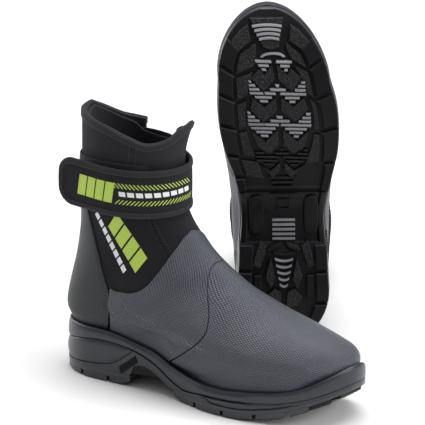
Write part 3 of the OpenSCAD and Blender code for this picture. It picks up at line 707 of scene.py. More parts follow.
def run_uv(v, a):
    """Surface coordinates that run on from the quarter to the vamp."""
    ridge = skin(np.linspace(0, TOE_ROW, 400), 0, 0)
    run = np.concatenate([[0], np.cumsum(np.linalg.norm(np.diff(ridge, axis=0), axis=1))])
    w = np.interp(v, np.linspace(0, TOE_ROW, 400), run)
    fine = np.linspace(-SIDE_N, SIDE_N, 241)
    g = laid(v[:, :1] * 0 + v.mean(1)[:, None], fine[None, :], 0)
    seg = np.linalg.norm(np.diff(g, axis=1), axis=2)
    u = np.concatenate([np.zeros((len(g), 1)), np.cumsum(seg, 1)], 1)
    u = u - u[:, [120]]
    return np.stack([np.stack([np.interp(a[i], fine, u[i]) for i in range(len(a))]), w], -1)


def quarter(side):
    s, t = st(60, 181)
    corners = np.array([0, 8, 16, 26, 36, 46, 56, 66, 75, 83, 90, 93, 94.4, 95.2, 95.9, 97, 100, 104.5,
                        115, 130, 145])
    half = np.interp(np.linspace(0, 1, 91), np.linspace(0, 1, len(corners)), corners)
    a = np.concatenate([-half[:0:-1], half])[None, :] + s * 0
    v = mix(curve(QUARTER_BACK, np.abs(a)) + 0.03, curve(VAMP_SEAM, np.abs(a)) - 0.02, s)
    shape = Shape()
    outer = laid(v, a, RUBBER_OUT + puff(s, t, 80, 300, 0.2, 2.2))
    shape.sheet(outer, laid(v, a, RUBBER_IN - 0.1), run_uv(v, a))
    return build("quarter", side, shape, ["emboss"], "boot", ["quarter"], 0.35)


def heel_counter(side):
    s, t = st(60, 90)
    v = mix(4.3, curve(COUNTER_FOOT, np.minimum(t, 1 - t)), s)
    e = curve(COUNTER_SIDE, v) + 0.5
    shape = Shape()
    shape.sheet(laid(v, mix(e, 360 - e, t), RUBBER_OUT + 0.25 + puff(s, t, 120, 130, 0.3, 2.5)),
                laid(v, mix(e, 360 - e, t), RUBBER_IN - 0.1))
    return build("heel_counter", side, shape, ["counter"], "boot", ["heel_counter"], 0.4)


def ankle_panel(side, name, a0, a1, cols):
    """The neoprene runs on a little under the rubber skins round it."""
    s, t = st(50, cols)
    a = mix(a0, a1, t)
    v = mix(3.2, curve(ANKLE_EDGE, np.abs(a)) + 0.35, s)
    shape = Shape()
    outer = laid(v, a, KNIT_OUT + puff(s, t, 90, abs(a1 - a0) * 0.75, 0.5, 4))
    shape.sheet(outer, laid(v, a, KNIT_IN))
    return build(name, side, shape, ["ankle"], "boot", [name], 0.4)


def collar_grid(a0, a1, cols, low, top, rows, o):
    s, t = st(rows, cols)
    a = mix(a0, a1, t)
    return collar_at(a, mix(low, top(a), s), o(s, t) if callable(o) else o)


def rim(a):
    return curve(RIM, a)


def rolled_edge(shape, a0, a1, cols, top, out_o, in_o, width, mat=0):
    """Binding tape: down the outside, over the rim and down the inside."""
    profile = [(out_o, -width), (out_o + 0.9, -width + 0.3), (out_o + 1.1, -width * 0.5),
               (out_o + 1.0, -1.0), (out_o * 0.6 + in_o * 0.4, 0.9), (in_o * 0.6 + out_o * 0.4, 0.9),
               (in_o - 1.0, -1.0), (in_o - 1.1, -width * 0.5), (in_o - 0.9, -width + 0.3),
               (in_o, -width), (in_o + 0.3, -width + 1.0), (in_o + 0.1, -1.6), (out_o - 0.1, -1.6),
               (out_o - 0.3, -width + 1.0)]
    a = np.linspace(a0, a1, cols)
    rings = np.stack([collar_at(a, top(a) + dz, np.full(cols, float(o))) for o, dz in profile], 1)
    shape.tube(rings, mat=mat)


def collar(side):
    shape = Shape()
    grids = [collar_grid(-60, 179.3, 140, 186, lambda a: rim(a) - 1.5, 40, o)
             for o in (lambda s, t: -0.2 + puff(s, t, 55, 200, 0.5, 5), -3.9)]
    shape.sheet(*grids)
    return build("collar", side, shape, ["collar"], "boot", ["collar"], 0.5)


def medial_collar_flap(side):
    shape = Shape()
    grids = [collar_grid(-179.3, -106, 50, 186, lambda a: rim(a) - 1.5, 40, o)
             for o in (lambda s, t: -0.2 + puff(s, t, 55, 45, 0.5, 5), -3.9)]
    shape.sheet(*grids)
    return build("medial_collar_flap", side, shape, ["collar"], "boot", ["medial_collar_flap"], 0.5)


def gusset(side):
    shape = Shape()
    grids = [collar_grid(-110, -56, 40, 188, lambda a: 222 + 0 * a, 24, o)
             for o in (lambda s, t: -4.4 + 0.5 * np.sin(t * 40) * np.sin(np.pi * s), -6.2)]
    shape.sheet(*grids)
    return build("gusset", side, shape, ["ankle"], "boot", ["gusset"], 0.4)


def binding(side, name, a0, a1, cols):
    shape = Shape()
    rolled_edge(shape, a0, a1, cols, rim, -0.2, -3.9, 7)
    return build(name, side, shape, ["tape"], "boot", [name], 0)


def liner(side):
    """The bootie: a sock with its inside and outside, open at the rim."""
    cols = 96
    a = np.linspace(-180, 180, cols, endpoint=False)
    top = shaft_v(curve(LINER_RIM, a))
    vs = [mix(top, 4, k / 11) for k in range(12)]
    vs += [np.full(cols, v) for v in np.concatenate([np.linspace(4.3, 9, 24), np.linspace(9.1, 10, 10),
                                                     np.linspace(10.3, TOE_ROW - 0.2, 34)])]
    out = [skin(v, a, LINER_O) for v in vs]
    inn = [skin(v, a, LINER_O - LINER_T) for v in vs]
    edge_ring = [skin(vs[0] - 0.04, a, LINER_O - LINER_T / 2)]
    shape = Shape()
    shape.tube(inn[::-1] + edge_ring + out)
    return build("liner", side, shape, ["lining"], "boot", ["liner"], 0)


def footbed(side):
    rows = np.concatenate([np.linspace(9.3, 10, 8), np.linspace(10.3, 17.2, 30)])
    bed_o = LINER_O - LINER_T - 2.2
    rings = []
    for v in rows:
        a0, a1 = 95.0, 178.0
        for _ in range(14):
            a = (a0 + a1) / 2
            p = skin(v, a, bed_o)
            above = p[2] > curve(FOOT, p[0]) + LINER_T + 5.5
            a0, a1 = (a, a1) if above else (a0, a)
        under = skin(v, np.linspace(a, 360 - a, 15), bed_o)
        top = np.linspace(under[-1], under[0], 9)[1:-1]
        top[:, 2] -= 0.8 * np.sin(np.linspace(0, np.pi, 9)[1:-1])
        rings.append(np.concatenate([under, top]))
    shape = Shape()
    shape.tube(rings)
    return build("footbed", side, shape, ["bed"], "boot", ["footbed"], 0.6)


def inner_stiffener(side, name):
    """Hidden board under the toe or heel skin."""
    s, t = st(24, 40)
    if name == "toe_puff":
        v, a = mix(15.2, TOE_ROW - 0.3, s), mix(-125, 125, t)
    else:
        v = mix(5.8, 8.3 - 0.2 * np.sin(np.pi * t), s)
        e = curve(COUNTER_SIDE, v) + 9
        a = mix(e, 360 - e, t)
    shape = Shape()
    shape.sheet(laid(v, a, -3.4), laid(v, a, -4.0))
    return build(name, side, shape, ["board"], "boot", [name], 0.2)


# --- Strap ---

BASE_O, BASE_T = 0.75, 1.6
LOOP_O = BASE_O + BASE_T + 0.25
PILE_T = 1.2
HOOK_O = LOOP_O + PILE_T + 0.4
STRAP_O = HOOK_O + PILE_T + 0.1
STRAP_T = 2.5


def strap_plan(u, o):
    """Plan point along the free strap: u 0 to 1 on the shaft, 1 to 2 along the tab."""
    u = np.asarray(u, float)
    d = shaft_point(TURN_OFF, STRAP_O) - shaft_point(TURN_OFF - 2, STRAP_O)
    d = d / np.linalg.norm(d)
    outwards = np.array([-d[1], d[0]]) * (1 if d[0] < 0 else -1)
    out = np.maximum(u - 1, 0)[..., None]
    on = shaft_point(mix(HINGE_A, TURN_OFF, np.minimum(u, 1)), o)
    tab = shaft_point(TURN_OFF, o) + d * out * TAB_L + outwards * 1.2 * out ** 2
    return np.where(u[..., None] <= 1, on, tab)


def strap_at(u, rel):
    """Plan point of the strap, rel outside its inner face: u from -1 to 0 is its sewn part."""
    u = np.asarray(u, float)
    a = mix(SEWN_A, HINGE_A, np.minimum(u, 0) + 1)
    lift = mix(BASE_O, STRAP_O, smooth((a + 60) / 60))
    return np.where((u < 0)[..., None], shaft_point(a, lift + rel),
                    strap_plan(np.maximum(u, 0), STRAP_O + rel))


def tab_half(u, half):
    w = np.maximum(0, (u - 2) * TAB_L / TAB_R + 1)
    return half - TAB_R * (1 - np.sqrt(np.maximum(0, 1 - w * w)))


def strap_us():
    """Samples along the strap, closer together round the tab's end."""
    corner = TAB_R / TAB_L
    bend = 2 - corner + corner * np.sin(np.linspace(0, np.pi / 2, 20))
    return np.concatenate([np.linspace(-1, 0, 56)[:-1], np.linspace(0, 2 - corner, 80)[:-1], bend])


def run_length(us):
    p = strap_at(us, STRAP_T)
    return np.concatenate([[0], np.cumsum(np.linalg.norm(np.diff(p, axis=0), axis=1))])


def bends(obj, side):
    """Bakes the piece's placement into its mesh; the two points by the fold are worked out and not used.
    """
    x, y = shaft_point(HINGE_A, STRAP_O)
    tuple(place([x, y + 7, STRAP_Z], side))
    tuple(place([x, y - 7, STRAP_Z], side))
    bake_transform(obj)


def strap(side):
    """Padded strap: a crowned outside, a flat inside and a sewn channel by the edge."""
    rings = []
    for u in strap_us():
        h = float(tab_half(u, STRAP_W / 2 - 0.3))
        zs = np.linspace(-1, 1, 33)
        crown = 0.4 * np.cos(zs * np.pi / 2)
        channel = -0.5 * np.exp(-((np.abs(zs) * h - (h - 6.2)) / 0.6) ** 2) if h > 8 else 0 * zs
        out = STRAP_T - 0.15 + (crown + channel) * min(1.0, h / 12)
        po = np.array([strap_at(u, o) for o in out])
        pi = np.repeat(strap_at(u, 0.0)[None], 9, 0)
        zi = np.linspace(1, -1, 9) * 0.985
        rings.append(np.concatenate([np.column_stack([po, STRAP_Z + zs * h]),
                                     np.column_stack([pi, STRAP_Z + zi * h])]))
    shape = Shape()
    shape.tube(rings)
    obj = build("strap", side, shape, ["strap"], None, ["strap_anchor", "strap_end"], 0)
    bends(obj, side)


def strap_outline():
    """Outline of the strap laid flat, up one side, round the tab and back, and its normals."""
    us = strap_us()
    total, half = run_length(us), tab_half(us, STRAP_W / 2)
    cap = np.linspace(half[-1], -half[-1], 14)[1:-1]
    flat = np.concatenate([np.column_stack([total, half]),
                           np.column_stack([np.full(len(cap), total[-1]), cap]),
                           np.column_stack([total, -half])[::-1]])
    d = np.gradient(flat, axis=0)
    d /= np.linalg.norm(d, axis=1)[:, None] + 1e-9
    return flat, np.column_stack([d[:, 1], -d[:, 0]])


def strap_edging(side):
    """Tape folded round the strap's edge, from the sewn end round the tab and back."""
    us = strap_us()
    total = run_length(us)
    flat, inward = strap_outline()
    profile = [(-0.35, 5.6), (-0.5, 3.0), (-0.4, 0.6), (0.9, -0.5), (1.9, -0.4),
               (STRAP_T + 0.3, 0.4), (STRAP_T + 0.7, 1.3), (STRAP_T + 0.85, 2.6),
               (STRAP_T + 0.65, 4.2), (STRAP_T + 0.3, 5.1), (STRAP_T - 0.2, 5.4), (1.2, 5.0),
               (0.2, 5.6)]
    rings = []
    for k in range(len(flat)):
        ring = []
        for o, w in profile:
            q = flat[k] + inward[k] * w
            ring.append([*strap_at(np.interp(q[0], total, us), o), STRAP_Z + q[1]])
        rings.append(ring)
    shape = Shape()
    shape.tube(rings)
    obj = build("strap_edging", side, shape, ["tape"], None, ["strap_edging"], 0)
    bends(obj, side)


def shaft_band(shape, a0, a1, n, low, high, inner, outer):
    """Band round the shaft from low to high(angle), its two edges a little rolled."""
    rings = []
    z = np.linspace(0, 1, 9)
    roll = 0.5 * (1 - np.minimum(1, np.minimum(z, 1 - z) * 12))
    for a in np.linspace(a0, a1, n):
        tall = high(a) - low
        po = np.array([shaft_point(a, outer - r) for r in roll])
        pi = np.array([shaft_point(a, inner) for _ in z])
        rings.append(np.concatenate([np.column_stack([po, low + tall * z]),
                                     np.column_stack([pi, high(a) - tall * z])]))
    shape.tube(rings)


def strap_parts(side):
    """Band sewn below the strap, the loop pile on it and the hook pile behind the strap."""
    low, high = STRAP_Z - STRAP_W / 2, STRAP_Z + STRAP_W / 2
    shape = Shape()
    shaft_band(shape, 44, 180, 80, low + 2,
               lambda a: STRAP_Z + mix(27, 19, min(1, max(0, (a - 75) / 100))), BASE_O, BASE_O + BASE_T)
    build("strap_base", side, shape, ["tape"], "boot", ["strap_base"], 0.4)
    shape = Shape()
    shaft_band(shape, 62, 142, 40, low + 7, lambda a: high - 7, LOOP_O, LOOP_O + PILE_T)
    build("loop_patch", side, shape, ["loop"], "boot", ["loop_patch"], 0.3)
    shape = Shape()
    rings = []
    for u in np.linspace(0.62, 1.8, 40):
        h = min(STRAP_W / 2 - 7, float(tab_half(u, STRAP_W / 2)) - 7)
        rings.append([[*strap_plan(u, o), STRAP_Z + z] for o, z in
                      [(HOOK_O, -h), (HOOK_O + PILE_T, -h), (HOOK_O + PILE_T, h), (HOOK_O, h)]])
    shape.tube(rings)
    build("hook_patch", side, shape, ["hook"], "strap", ["hook_patch"], 0.3)


# --- Prints: plain bars and dashes ---

FINE_US = np.linspace(-1, 2, 450)
FINE_RUN = run_length(FINE_US)
FOLD_RUN = float(np.interp(0, FINE_US, FINE_RUN))


def quad(poly, rows, cols):
    a, b, c, d = np.asarray(poly, float)
    s, t = st(rows, cols)
    s, t = s[..., None], t[..., None]
    return (1 - s) * ((1 - t) * a + t * b) + s * ((1 - t) * d + t * c)


def strap_decal(shape, poly, mat, grid=5):
    """poly holds (millimetres along the strap from its fold, height from its middle)."""
    flat = quad(poly, grid, grid + 6)
    u = np.interp(flat[..., 0] + FOLD_RUN, FINE_RUN, FINE_US)
    crown = 0.4 * np.cos(np.clip(np.abs(flat[..., 1]) / (STRAP_W / 2), 0, 1) * np.pi / 2) - 0.15
    grids = [np.concatenate([strap_at(u, STRAP_T + crown + o), STRAP_Z + flat[..., 1:]], -1)
             for o in (0.16, -0.14)]
    shape.sheet(*grids, mat=mat)


def slanted(x0, x1, z0, z1, lean):
    return [(x0, z0), (x1, z0), (x1 + lean, z1), (x0 + lean, z1)]


def strap_print(side):
    """Lime bars near the tab, then hatching with white dashes between, round to the front."""
    shape = Shape()
    start = float(FINE_RUN[-1]) - FOLD_RUN - 23
    for k in range(4):
        x1 = start - 10.4 * k
        strap_decal(shape, slanted(x1 - 9.1, x1, -9.8, 9.8, -3.0), 0)
    hatch = start - 43.5
    x = hatch
    while x > -16:
        strap_decal(shape, slanted(x - 1.2, x, 5.2, 10.0, 4.8), 0, 3)
        strap_decal(shape, slanted(x - 1.2, x, -10.0, -5.6, -4.4), 0, 3)
        x -= 3.7
    x = hatch - 4.5
    while x > -12:
        strap_decal(shape, slanted(x - 6.3, x, -2.2, 2.2, 0.7), 1, 3)
        x -= 8.2
    obj = build("strap_print", side, shape, ["lime", "white"], None, (), 0)
    bends(obj, side)


def side_decal(shape, poly, mat, grid=6):
    """poly holds (x, z) seen from the boot's outer side."""
    flat = quad(poly, grid, grid)
    v, a = on_side(flat[..., 0], flat[..., 1])
    shape.sheet(laid(v, a, KNIT_OUT + 0.14), laid(v, a, KNIT_OUT - 0.2), mat=mat)


def row_of_bars(shape, top, low, half, pitch, width, skew, mat):
    """Bars across the line from top to low."""
    top, low = np.array(top, float), np.array(low, float)
    d = (low - top) / np.linalg.norm(low - top)
    n = np.array([-d[1], d[0]])
    for k in range(int(np.linalg.norm(low - top) // pitch)):
        p = top + d * (pitch * k)
        q = p + d * width
        side_decal(shape, [p - n * half + d * skew, p + n * half - d * skew,
                           q + n * half - d * skew, q - n * half + d * skew], mat)


def ankle_print(side):
    """A slanted lime ladder on the outer ankle panel with a line of white dashes by it."""
    shape = Shape()
    row_of_bars(shape, (70.6, 157.1), (103.6, 117.5), 8.9, 12.8, 11.0, 2.5, 0)
    row_of_bars(shape, (50.5, 159.2), (87.6, 108), 2.5, 7.7, 6.1, 0.6, 1)
    return build("ankle_print", side, shape, ["lime", "white"], "boot", (), 0)


def on_side(x, z):
    """Section and angle of the outer side's point at that x and z."""
    v = np.full(x.shape, 5.5)
    lo, hi = np.full(x.shape, 2.0), np.full(x.shape, 10.0)
    for _ in range(30):
        v = (lo + hi) / 2
        q = last_row(v)
        dx, dz = q[..., 0] - q[..., 2], q[..., 1] - q[..., 3]
        above = (q[..., 3] + dz * (x - q[..., 2]) / dx) > z
        lo, hi = np.where(above, v, lo), np.where(above, hi, v)
    q = last_row(v)
    al = np.clip((x - (q[..., 0] + q[..., 2]) / 2) / ((q[..., 0] - q[..., 2]) / 2), -0.999, 0.999)
    n = np.where(al > 0, q[..., 6], q[..., 7])
    return v, np.degrees(np.arccos(signed_pow(al, n / 2)))


# --- Sole ---

def around(n):
    """Stations round the whole outline: x and side, denser at both ends."""
    k = np.linspace(0, 2 * np.pi, n, endpoint=False)
    x = BASE_L * (1 - np.cos(k)) / 2
    return x, np.where(k < np.pi, -1.0, 1.0)


def bead(x):
    """The rand's grooves and bead, 1 along the sides and fading into the plain toe bumper."""
    return 1 - smooth((x - 222) / 16)


def rand_band(side):
    """Rubber rand: a rounded top lip, a shallow waist, a lower bead and a plain toe bumper."""
    x, sd = around(320)
    low, top, b = curve(RAND_LOW, x), curve(RAND_TOP, x), bead(x)
    # inset along the sides, inset at the toe, share of the height, rise
    profile = [(4.0, 4.0, 0.0, 0), (1.1, 0.3, 0.0, 0.15), (0.35, 0.2, 0.0, 0.9),
               (0.0, 0.1, 0.12, 0.9), (-0.1, 0.0, 0.3, 0), (0.0, 0.0, 0.5, 0),
               (0.35, 0.05, 0.68, 0), (1.0, 0.25, 0.84, 0), (1.35, 0.5, 0.9, 0),
               (1.3, 0.75, 0.93, 0), (1.9, 1.6, 0.985, 0), (2.9, 2.7, 1.0, 0.15),
               (4.2, 4.1, 1.0, 0.05), (5.0, 5.0, 1.0, -0.5), (6.5, 6.5, 0.98, -1.2),
               (8.5, 7.5, 0.96, -2.2), (8.6, 7.6, 0.92, -3.0), (4.5, 4.5, 0.4, 0)]
    rings = []
    for inset, at_toe, share, dz in profile:
        px, py = edge(x, sd, mix(at_toe, inset, b))
        rings.append(np.column_stack([px, py, mix(low, top, share) + dz]))
    shape = Shape()
    shape.tube(np.stack(rings, 1), wrap=True)
    return build("rand_band", side, shape, ["sole"], "boot", ["rand_band"], 0)


def sole_stations(x0, x1, n):
    k = np.linspace(0, np.pi, n)
    return x0 + (x1 - x0) * (1 - np.cos(k)) / 2


def section(x, inset_low, low, walls, across):
    """Ring across the sole: a floor at its inset, then walls of (inset, z) up and down again."""
    ex, ey = edge(x, -1, inset_low)
    fx, fy = edge(x, 1, inset_low)
    pts = [[float(mix(ex, fx, k)), float(mix(ey, fy, k)), low] for k in np.linspace(0, 1, across)]
    for side, run in ((1, walls), (-1, walls[::-1])):
        for inset, z in run:
            px, py = edge(x, side, inset)
            pts.append([float(px), float(py), z])
    return pts


def block(shape, xs, low, wall, top, inset_low, mat=0, lit_wall_mat=3, across=9):
    """Loft along the boot: a floor, side walls through (inset, share of height) and a top."""
    rings = []
    for x in xs:
        lo, hi = float(low(x)), float(top(x))
        rings.append(section(x, inset_low, lo, [(inset, mix(lo, hi, share)) for inset, share in wall],
                             across))
    first = len(shape.m)
    # The floor faces take the darker tread copy of the rubber, painted shade, and the walls and top take
    # the lighter wall copy, painted light.
    shape.tube(rings, mat=lit_wall_mat)
    cols = len(rings[0])
    for k in range((len(rings) - 1) * cols):
        if k % cols < across - 1:
            shape.m[first + k] = mat


def groove(x):
    """Depth of the groove above the tread: at the heel, and from the ball to the toe bumper."""
    return 1 - smooth((x - 90) / 6) + smooth((x - 180) / 5) * (1 - smooth((x - 262) / 16))


def midsole(side):
    """Midsole: flush with the rubber round it, a groove above the tread and the arch cut."""
    shape = Shape()
    xs = np.concatenate([sole_stations(0.8, 60, 26), np.linspace(62, 160, 60),
                         sole_stations(164, BASE_L - 0.8, 60)])
    rings = []
    for x in xs:
        lo = float(line(ARCH_LOW, x) + spring(x)) + 0.15
        hi = float(curve(RAND_LOW, x)) - 0.35
        ln = min(max(float(curve(TREAD_LINE, x) + spring(x)), lo + 0.9), hi - 1.0)
        body, cut, b = hi - ln, float(groove(x)), float(bead(x))
        heel = 1 - float(smooth((x - 70) / 25))
        walls = [(0.4, lo), (0.35, lo + 0.2), (0.3, mix(lo, ln, 0.5)), (0.35, ln - 0.7),
                 (0.35 + cut, ln - 0.15), (0.35 + cut, ln + 0.15), (0.3, ln + 0.8),
                 (-0.5 * heel, ln + body * 0.3), (-0.6 * heel, ln + body * 0.55),
                 (0.1, ln + body * 0.82), (0.25 + 0.65 * b, hi - 0.6), (0.3 + 1.1 * b, hi)]
        zs = [w[1] for w in walls]
        zs = np.maximum.accumulate(np.array(zs) + np.arange(len(zs)) * 1e-3)
        rings.append(section(x, 0.4, lo, [(w[0], z) for w, z in zip(walls[1:], zs[1:])], 11))
    shape.tube(rings)
    return build("midsole", side, shape, ["sole"], "boot", ["midsole"], 0, sharp=42)


def ring_area(poly):
    x, y = poly[:, 0], poly[:, 1]
    return 0.5 * np.sum(x * np.roll(y, -1) - np.roll(x, -1) * y)


def inset_poly(poly, d):
    """The polygon moved inwards by d, by mitred corners."""
    e = np.roll(poly, -1, 0) - poly
    e /= np.linalg.norm(e, axis=1)[:, None] + 1e-9
    n = np.column_stack([-e[:, 1], e[:, 0]])
    prev = np.roll(n, 1, 0)
    m = n + prev
    m /= np.maximum((m * n).sum(1), 0.35)[:, None]
    return poly + m * d


def wound(poly):
    """The polygon as an array, anticlockwise."""
    poly = np.asarray(poly, float)
    return poly[::-1] if ring_area(poly) < 0 else poly


def prism(shape, rings, mat):
    """Closed block through three rings, its top first and its chamfered underside last."""
    n = len(rings[0])
    faces = []
    for r in (0, 1):
        faces += [[r * n + k, r * n + (k + 1) % n, (r + 1) * n + (k + 1) % n, (r + 1) * n + k]
                  for k in range(n)]
    faces += [list(range(n - 1, -1, -1)), [2 * n + k for k in range(n)]]
    shape.add(np.concatenate(rings), faces, mat=mat)


def pad(shape, poly, top, low, mat=0, chamfer=0.6, lit_side_mat=None):
    """A raised block of the tread: poly is (x, y), low is towards the ground."""
    poly = wound(poly)
    levels = [(poly, top), (poly, low + chamfer), (inset_poly(poly, chamfer), low)]
    first, n = len(shape.m), len(poly)
    prism(shape, [np.column_stack([p, z + spring(p[:, 0]) + tuck(p[:, 0])]) for p, z in levels], mat)
    # With a side material given, the side walls take the lighter wall copy of the rubber, painted light,
    # while the chamfer and face keep the darker tread copy, painted shade.
    if lit_side_mat is not None:
        shape.m[first:first + n] = [lit_side_mat] * n


# The tread's rows of bars: for each zone x at its middle, at the valley or tip and at the
# outer end, for its front and rear edge, with the distances of tip and end from the middle.
ZONES = [
    {"front": (266, 266, 266), "rear": (266, 253.5, 260), "at": (10.5, 15), "light": True},
    {"front": (244.5, 236, 248), "rear": (236.5, 224.5, 233.5), "at": (13, 24), "light": True},
    {"front": (216, 207.5, 219), "rear": (206.5, 192, 203), "at": (14.5, 27), "light": True},
    {"front": (184.5, 177, 183.5), "rear": (175, 164, 171), "at": (10.5, 22), "light": False},
]
LAST_FRONT = (159.5, 154, 161.5)
BAR_PITCH = 3.55
BAR_W = 2.15
BAR_TILT = 0.03
SHORTEST_BAR = 2.2


def tread_mid(x):
    return curve([[0, 0], [97, 0], [134, 0.9], [180, 2.2], [215, 4.3], [243, 6.1], [266, 9.5],
                  [296, 14.8], [310, 16]], x)


def zone_line(zone, which, q):
    """x of a zone's edge at distance q from the middle."""
    tip, end = zone["at"]
    c, t, o = zone[which]
    return np.interp(np.abs(q), [0, tip, end, end + 4], [c, t, o, o])


def zone_bars(shape, zone, mat, low):
    """Bars across a W-shaped zone, cut where its edges cross them."""
    end = zone["at"][1]
    q = np.linspace(-end - 2, end + 2, 241)
    front, rear = zone_line(zone, "front", q), zone_line(zone, "rear", q)
    x = max(zone["front"]) - 1.0
    while x > min(zone["rear"]) - 1:
        tilt = BAR_TILT * q
        inside = (front > x + tilt - 0.2) & (rear < x + tilt - BAR_W + 0.2)
        k = 0
        while k < len(q):
            if not inside[k]:
                k += 1
                continue
            j = k
            while j + 1 < len(q) and inside[j + 1]:
                j += 1
            if q[j] - q[k] > SHORTEST_BAR:
                q0, q1 = q[k], q[j]
                xa, xb = x + BAR_TILT * q0, x + BAR_TILT * q1
                corners = [(xa, q0), (xb, q1), (xb - BAR_W, q1 - (0.6 if q1 > 0 else -0.6)),
                           (xa - BAR_W, q0 + (0.6 if q0 < 0 else -0.6))]
                poly = [(cx, float(tread_mid(cx)) + cq) for cx, cq in corners]
                pad(shape, poly, LUG_H + 0.3, low, mat, 0.45)
            k = j + 1
        x -= BAR_PITCH


def mirror_pads(shape, poly, low, mat, chamfer=0.6):
    """The same block on both sides of the tread's middle; poly is (x, distance)."""
    for sign in (-1, 1):
        pad(shape, [(x, float(tread_mid(x)) + sign * q) for x, q in poly], LUG_H + 0.3, low, mat,
            chamfer)


def rim_point(x, sign, inset):
    px, py = edge(x, sign, inset)
    return float(px), float(py)


SHIELD = [[148, 12], [165, 17], [190, 26], [212, 28.5], [240, 23.5], [262, 15], [275, 11]]
NOTCH = {1: [157, 178, 207, 236, 262], -1: [171, 204, 237, 268]}


def plate(shape, x0, x1, n, low, top):
    block(shape, sole_stations(x0, x1, n), lambda x: min(low + tuck(x), top(x) - 0.8) + spring(x),
          [(0.9, 0.08), (0.35, 0.3), (0.2, 0.55), (0.3, 0.85), (0.4, 1.0)],
          lambda x: top(x) + spring(x), 1.6)


def forefoot_outsole(side):
    shape = Shape()
    plate(shape, FORE_START, BASE_L - 0.6, 90, LUG_H - 0.4, lambda x: OUTSOLE_T)
    g = 1.7
    for sign in (-1, 1):
        marks = [FORE_START + 0.5] + NOTCH[sign] + [287]
        for k in range(len(marks) - 1):
            xa, xb = marks[k] + g * (k > 0), marks[k + 1] - g
            xs = np.linspace(xa, xb, 7)
            wide = 12.5 if xa > 165 else 9
            outer = [rim_point(x, sign, 0.7) for x in xs]
            inner = [rim_point(x, sign, wide + (1.5 if x > xb - 1 else 0)) for x in xs[::-1]]
            pad(shape, outer + inner, LUG_H + 0.3, 0, 0, 0.9, 3)
            # dotted block between the outer lug and the middle field
            xa2, xb2 = xa - 3.5, xb - 5.0
            poly = []
            for x in np.linspace(xa2, xb2, 5):
                poly.append((x, float(tread_mid(x)) + sign * (curve(SHIELD, x) + 2.8)))
            for x in np.linspace(xb2 + 3.5, xa2 + 3.5, 5):
                qx, qy = rim_point(x, sign, wide + 2.6)
                poly.append((qx, qy))
            widths = [abs(poly[i][1] - poly[-1 - i][1]) for i in range(5)]
            if xa2 > FORE_START and min(widths) > 3:
                pad(shape, poly, LUG_H + 0.3, 0.9, 1, 0.6)
    for k, zone in enumerate(ZONES):
        zone_bars(shape, zone, 2 if zone["light"] else 0, 0.5)
        nxt = ZONES[k + 1]["front"] if k + 1 < len(ZONES) else LAST_FRONT
        end2 = ZONES[k + 1]["at"] if k + 1 < len(ZONES) else (8.5, 15)
        c, t, o = zone["rear"]
        c2, t2, o2 = nxt
        tip, end = zone["at"]
        leaf = [(c - 4.5, 2.2), (t - 1.2, tip), (o - 2, end - 0.5), (o2 + 1.5, end2[1] - 0.5),
                (t2 + 1.2, end2[0]), (c2 + 2.2, 3.0), (c2 + 3.5, 1.6)]
        mirror_pads(shape, leaf, 0.8, 1)
    for k in range(3):
        x = 157 - 4.4 * k
        half = 12 - 1.6 * k
        pad(shape, [(x, float(tread_mid(x)) - half), (x, float(tread_mid(x)) + half),
                    (x - 2.2, float(tread_mid(x)) + half), (x - 2.2, float(tread_mid(x)) - half)],
            LUG_H + 0.3, 0.9, 0, 0.4)
    # arc over the field and the toe lug with its bars
    c = float(tread_mid(268))
    arc = [(266.5 + 5.5 * math.cos(b), c + 12 * math.sin(b)) for b in np.linspace(-1.3, 1.3, 13)]
    arc += [(267 + 3.2 * math.cos(b), c + 9.5 * math.sin(b)) for b in np.linspace(1.3, -1.3, 13)]
    pad(shape, arc, LUG_H + 0.3, 0.8, 2, 0.35)
    toe = [(301.5, 15.5), (283, 9.5), (276.5, 7.5), (274.5, 3)]
    full = [(x, float(tread_mid(x)) + q) for x, q in toe]
    full += [(x, float(tread_mid(x)) - q) for x, q in toe[::-1]]
    pad(shape, full, LUG_H + 0.3, 1.6, 1, 0.7)
    for k in range(4):
        x, half = 297 - 3.7 * k, 13.6 - 1.45 * k
        ts = np.linspace(-1, 1, 9)
        poly = [(x - 1.3 * t * t, float(tread_mid(x)) + half * t) for t in ts]
        poly += [(x - 2.3 - 1.3 * t * t, float(tread_mid(x)) + half * t) for t in ts[::-1]]
        pad(shape, poly, 2.4, 0.3, 2, 0.4)
    for sign in (-1, 1):
        corner = [(296, 19.5), (291, 27), (283.5, 34), (273, 40.5), (268.5, 41.5), (271, 33),
                  (282, 17.5)]
        poly = [(x, float(curve(MIDDLE, x)) + sign * min(q, float(half_w(x)) - 1.5)) for x, q in corner]
        pad(shape, poly, LUG_H + 0.3, 0.2, 1, 0.8)
    return build("forefoot_outsole", side, shape, ["tread", "stipple", "bar", "wall"], "boot",
                 ["forefoot_outsole"], 0, sharp=32)


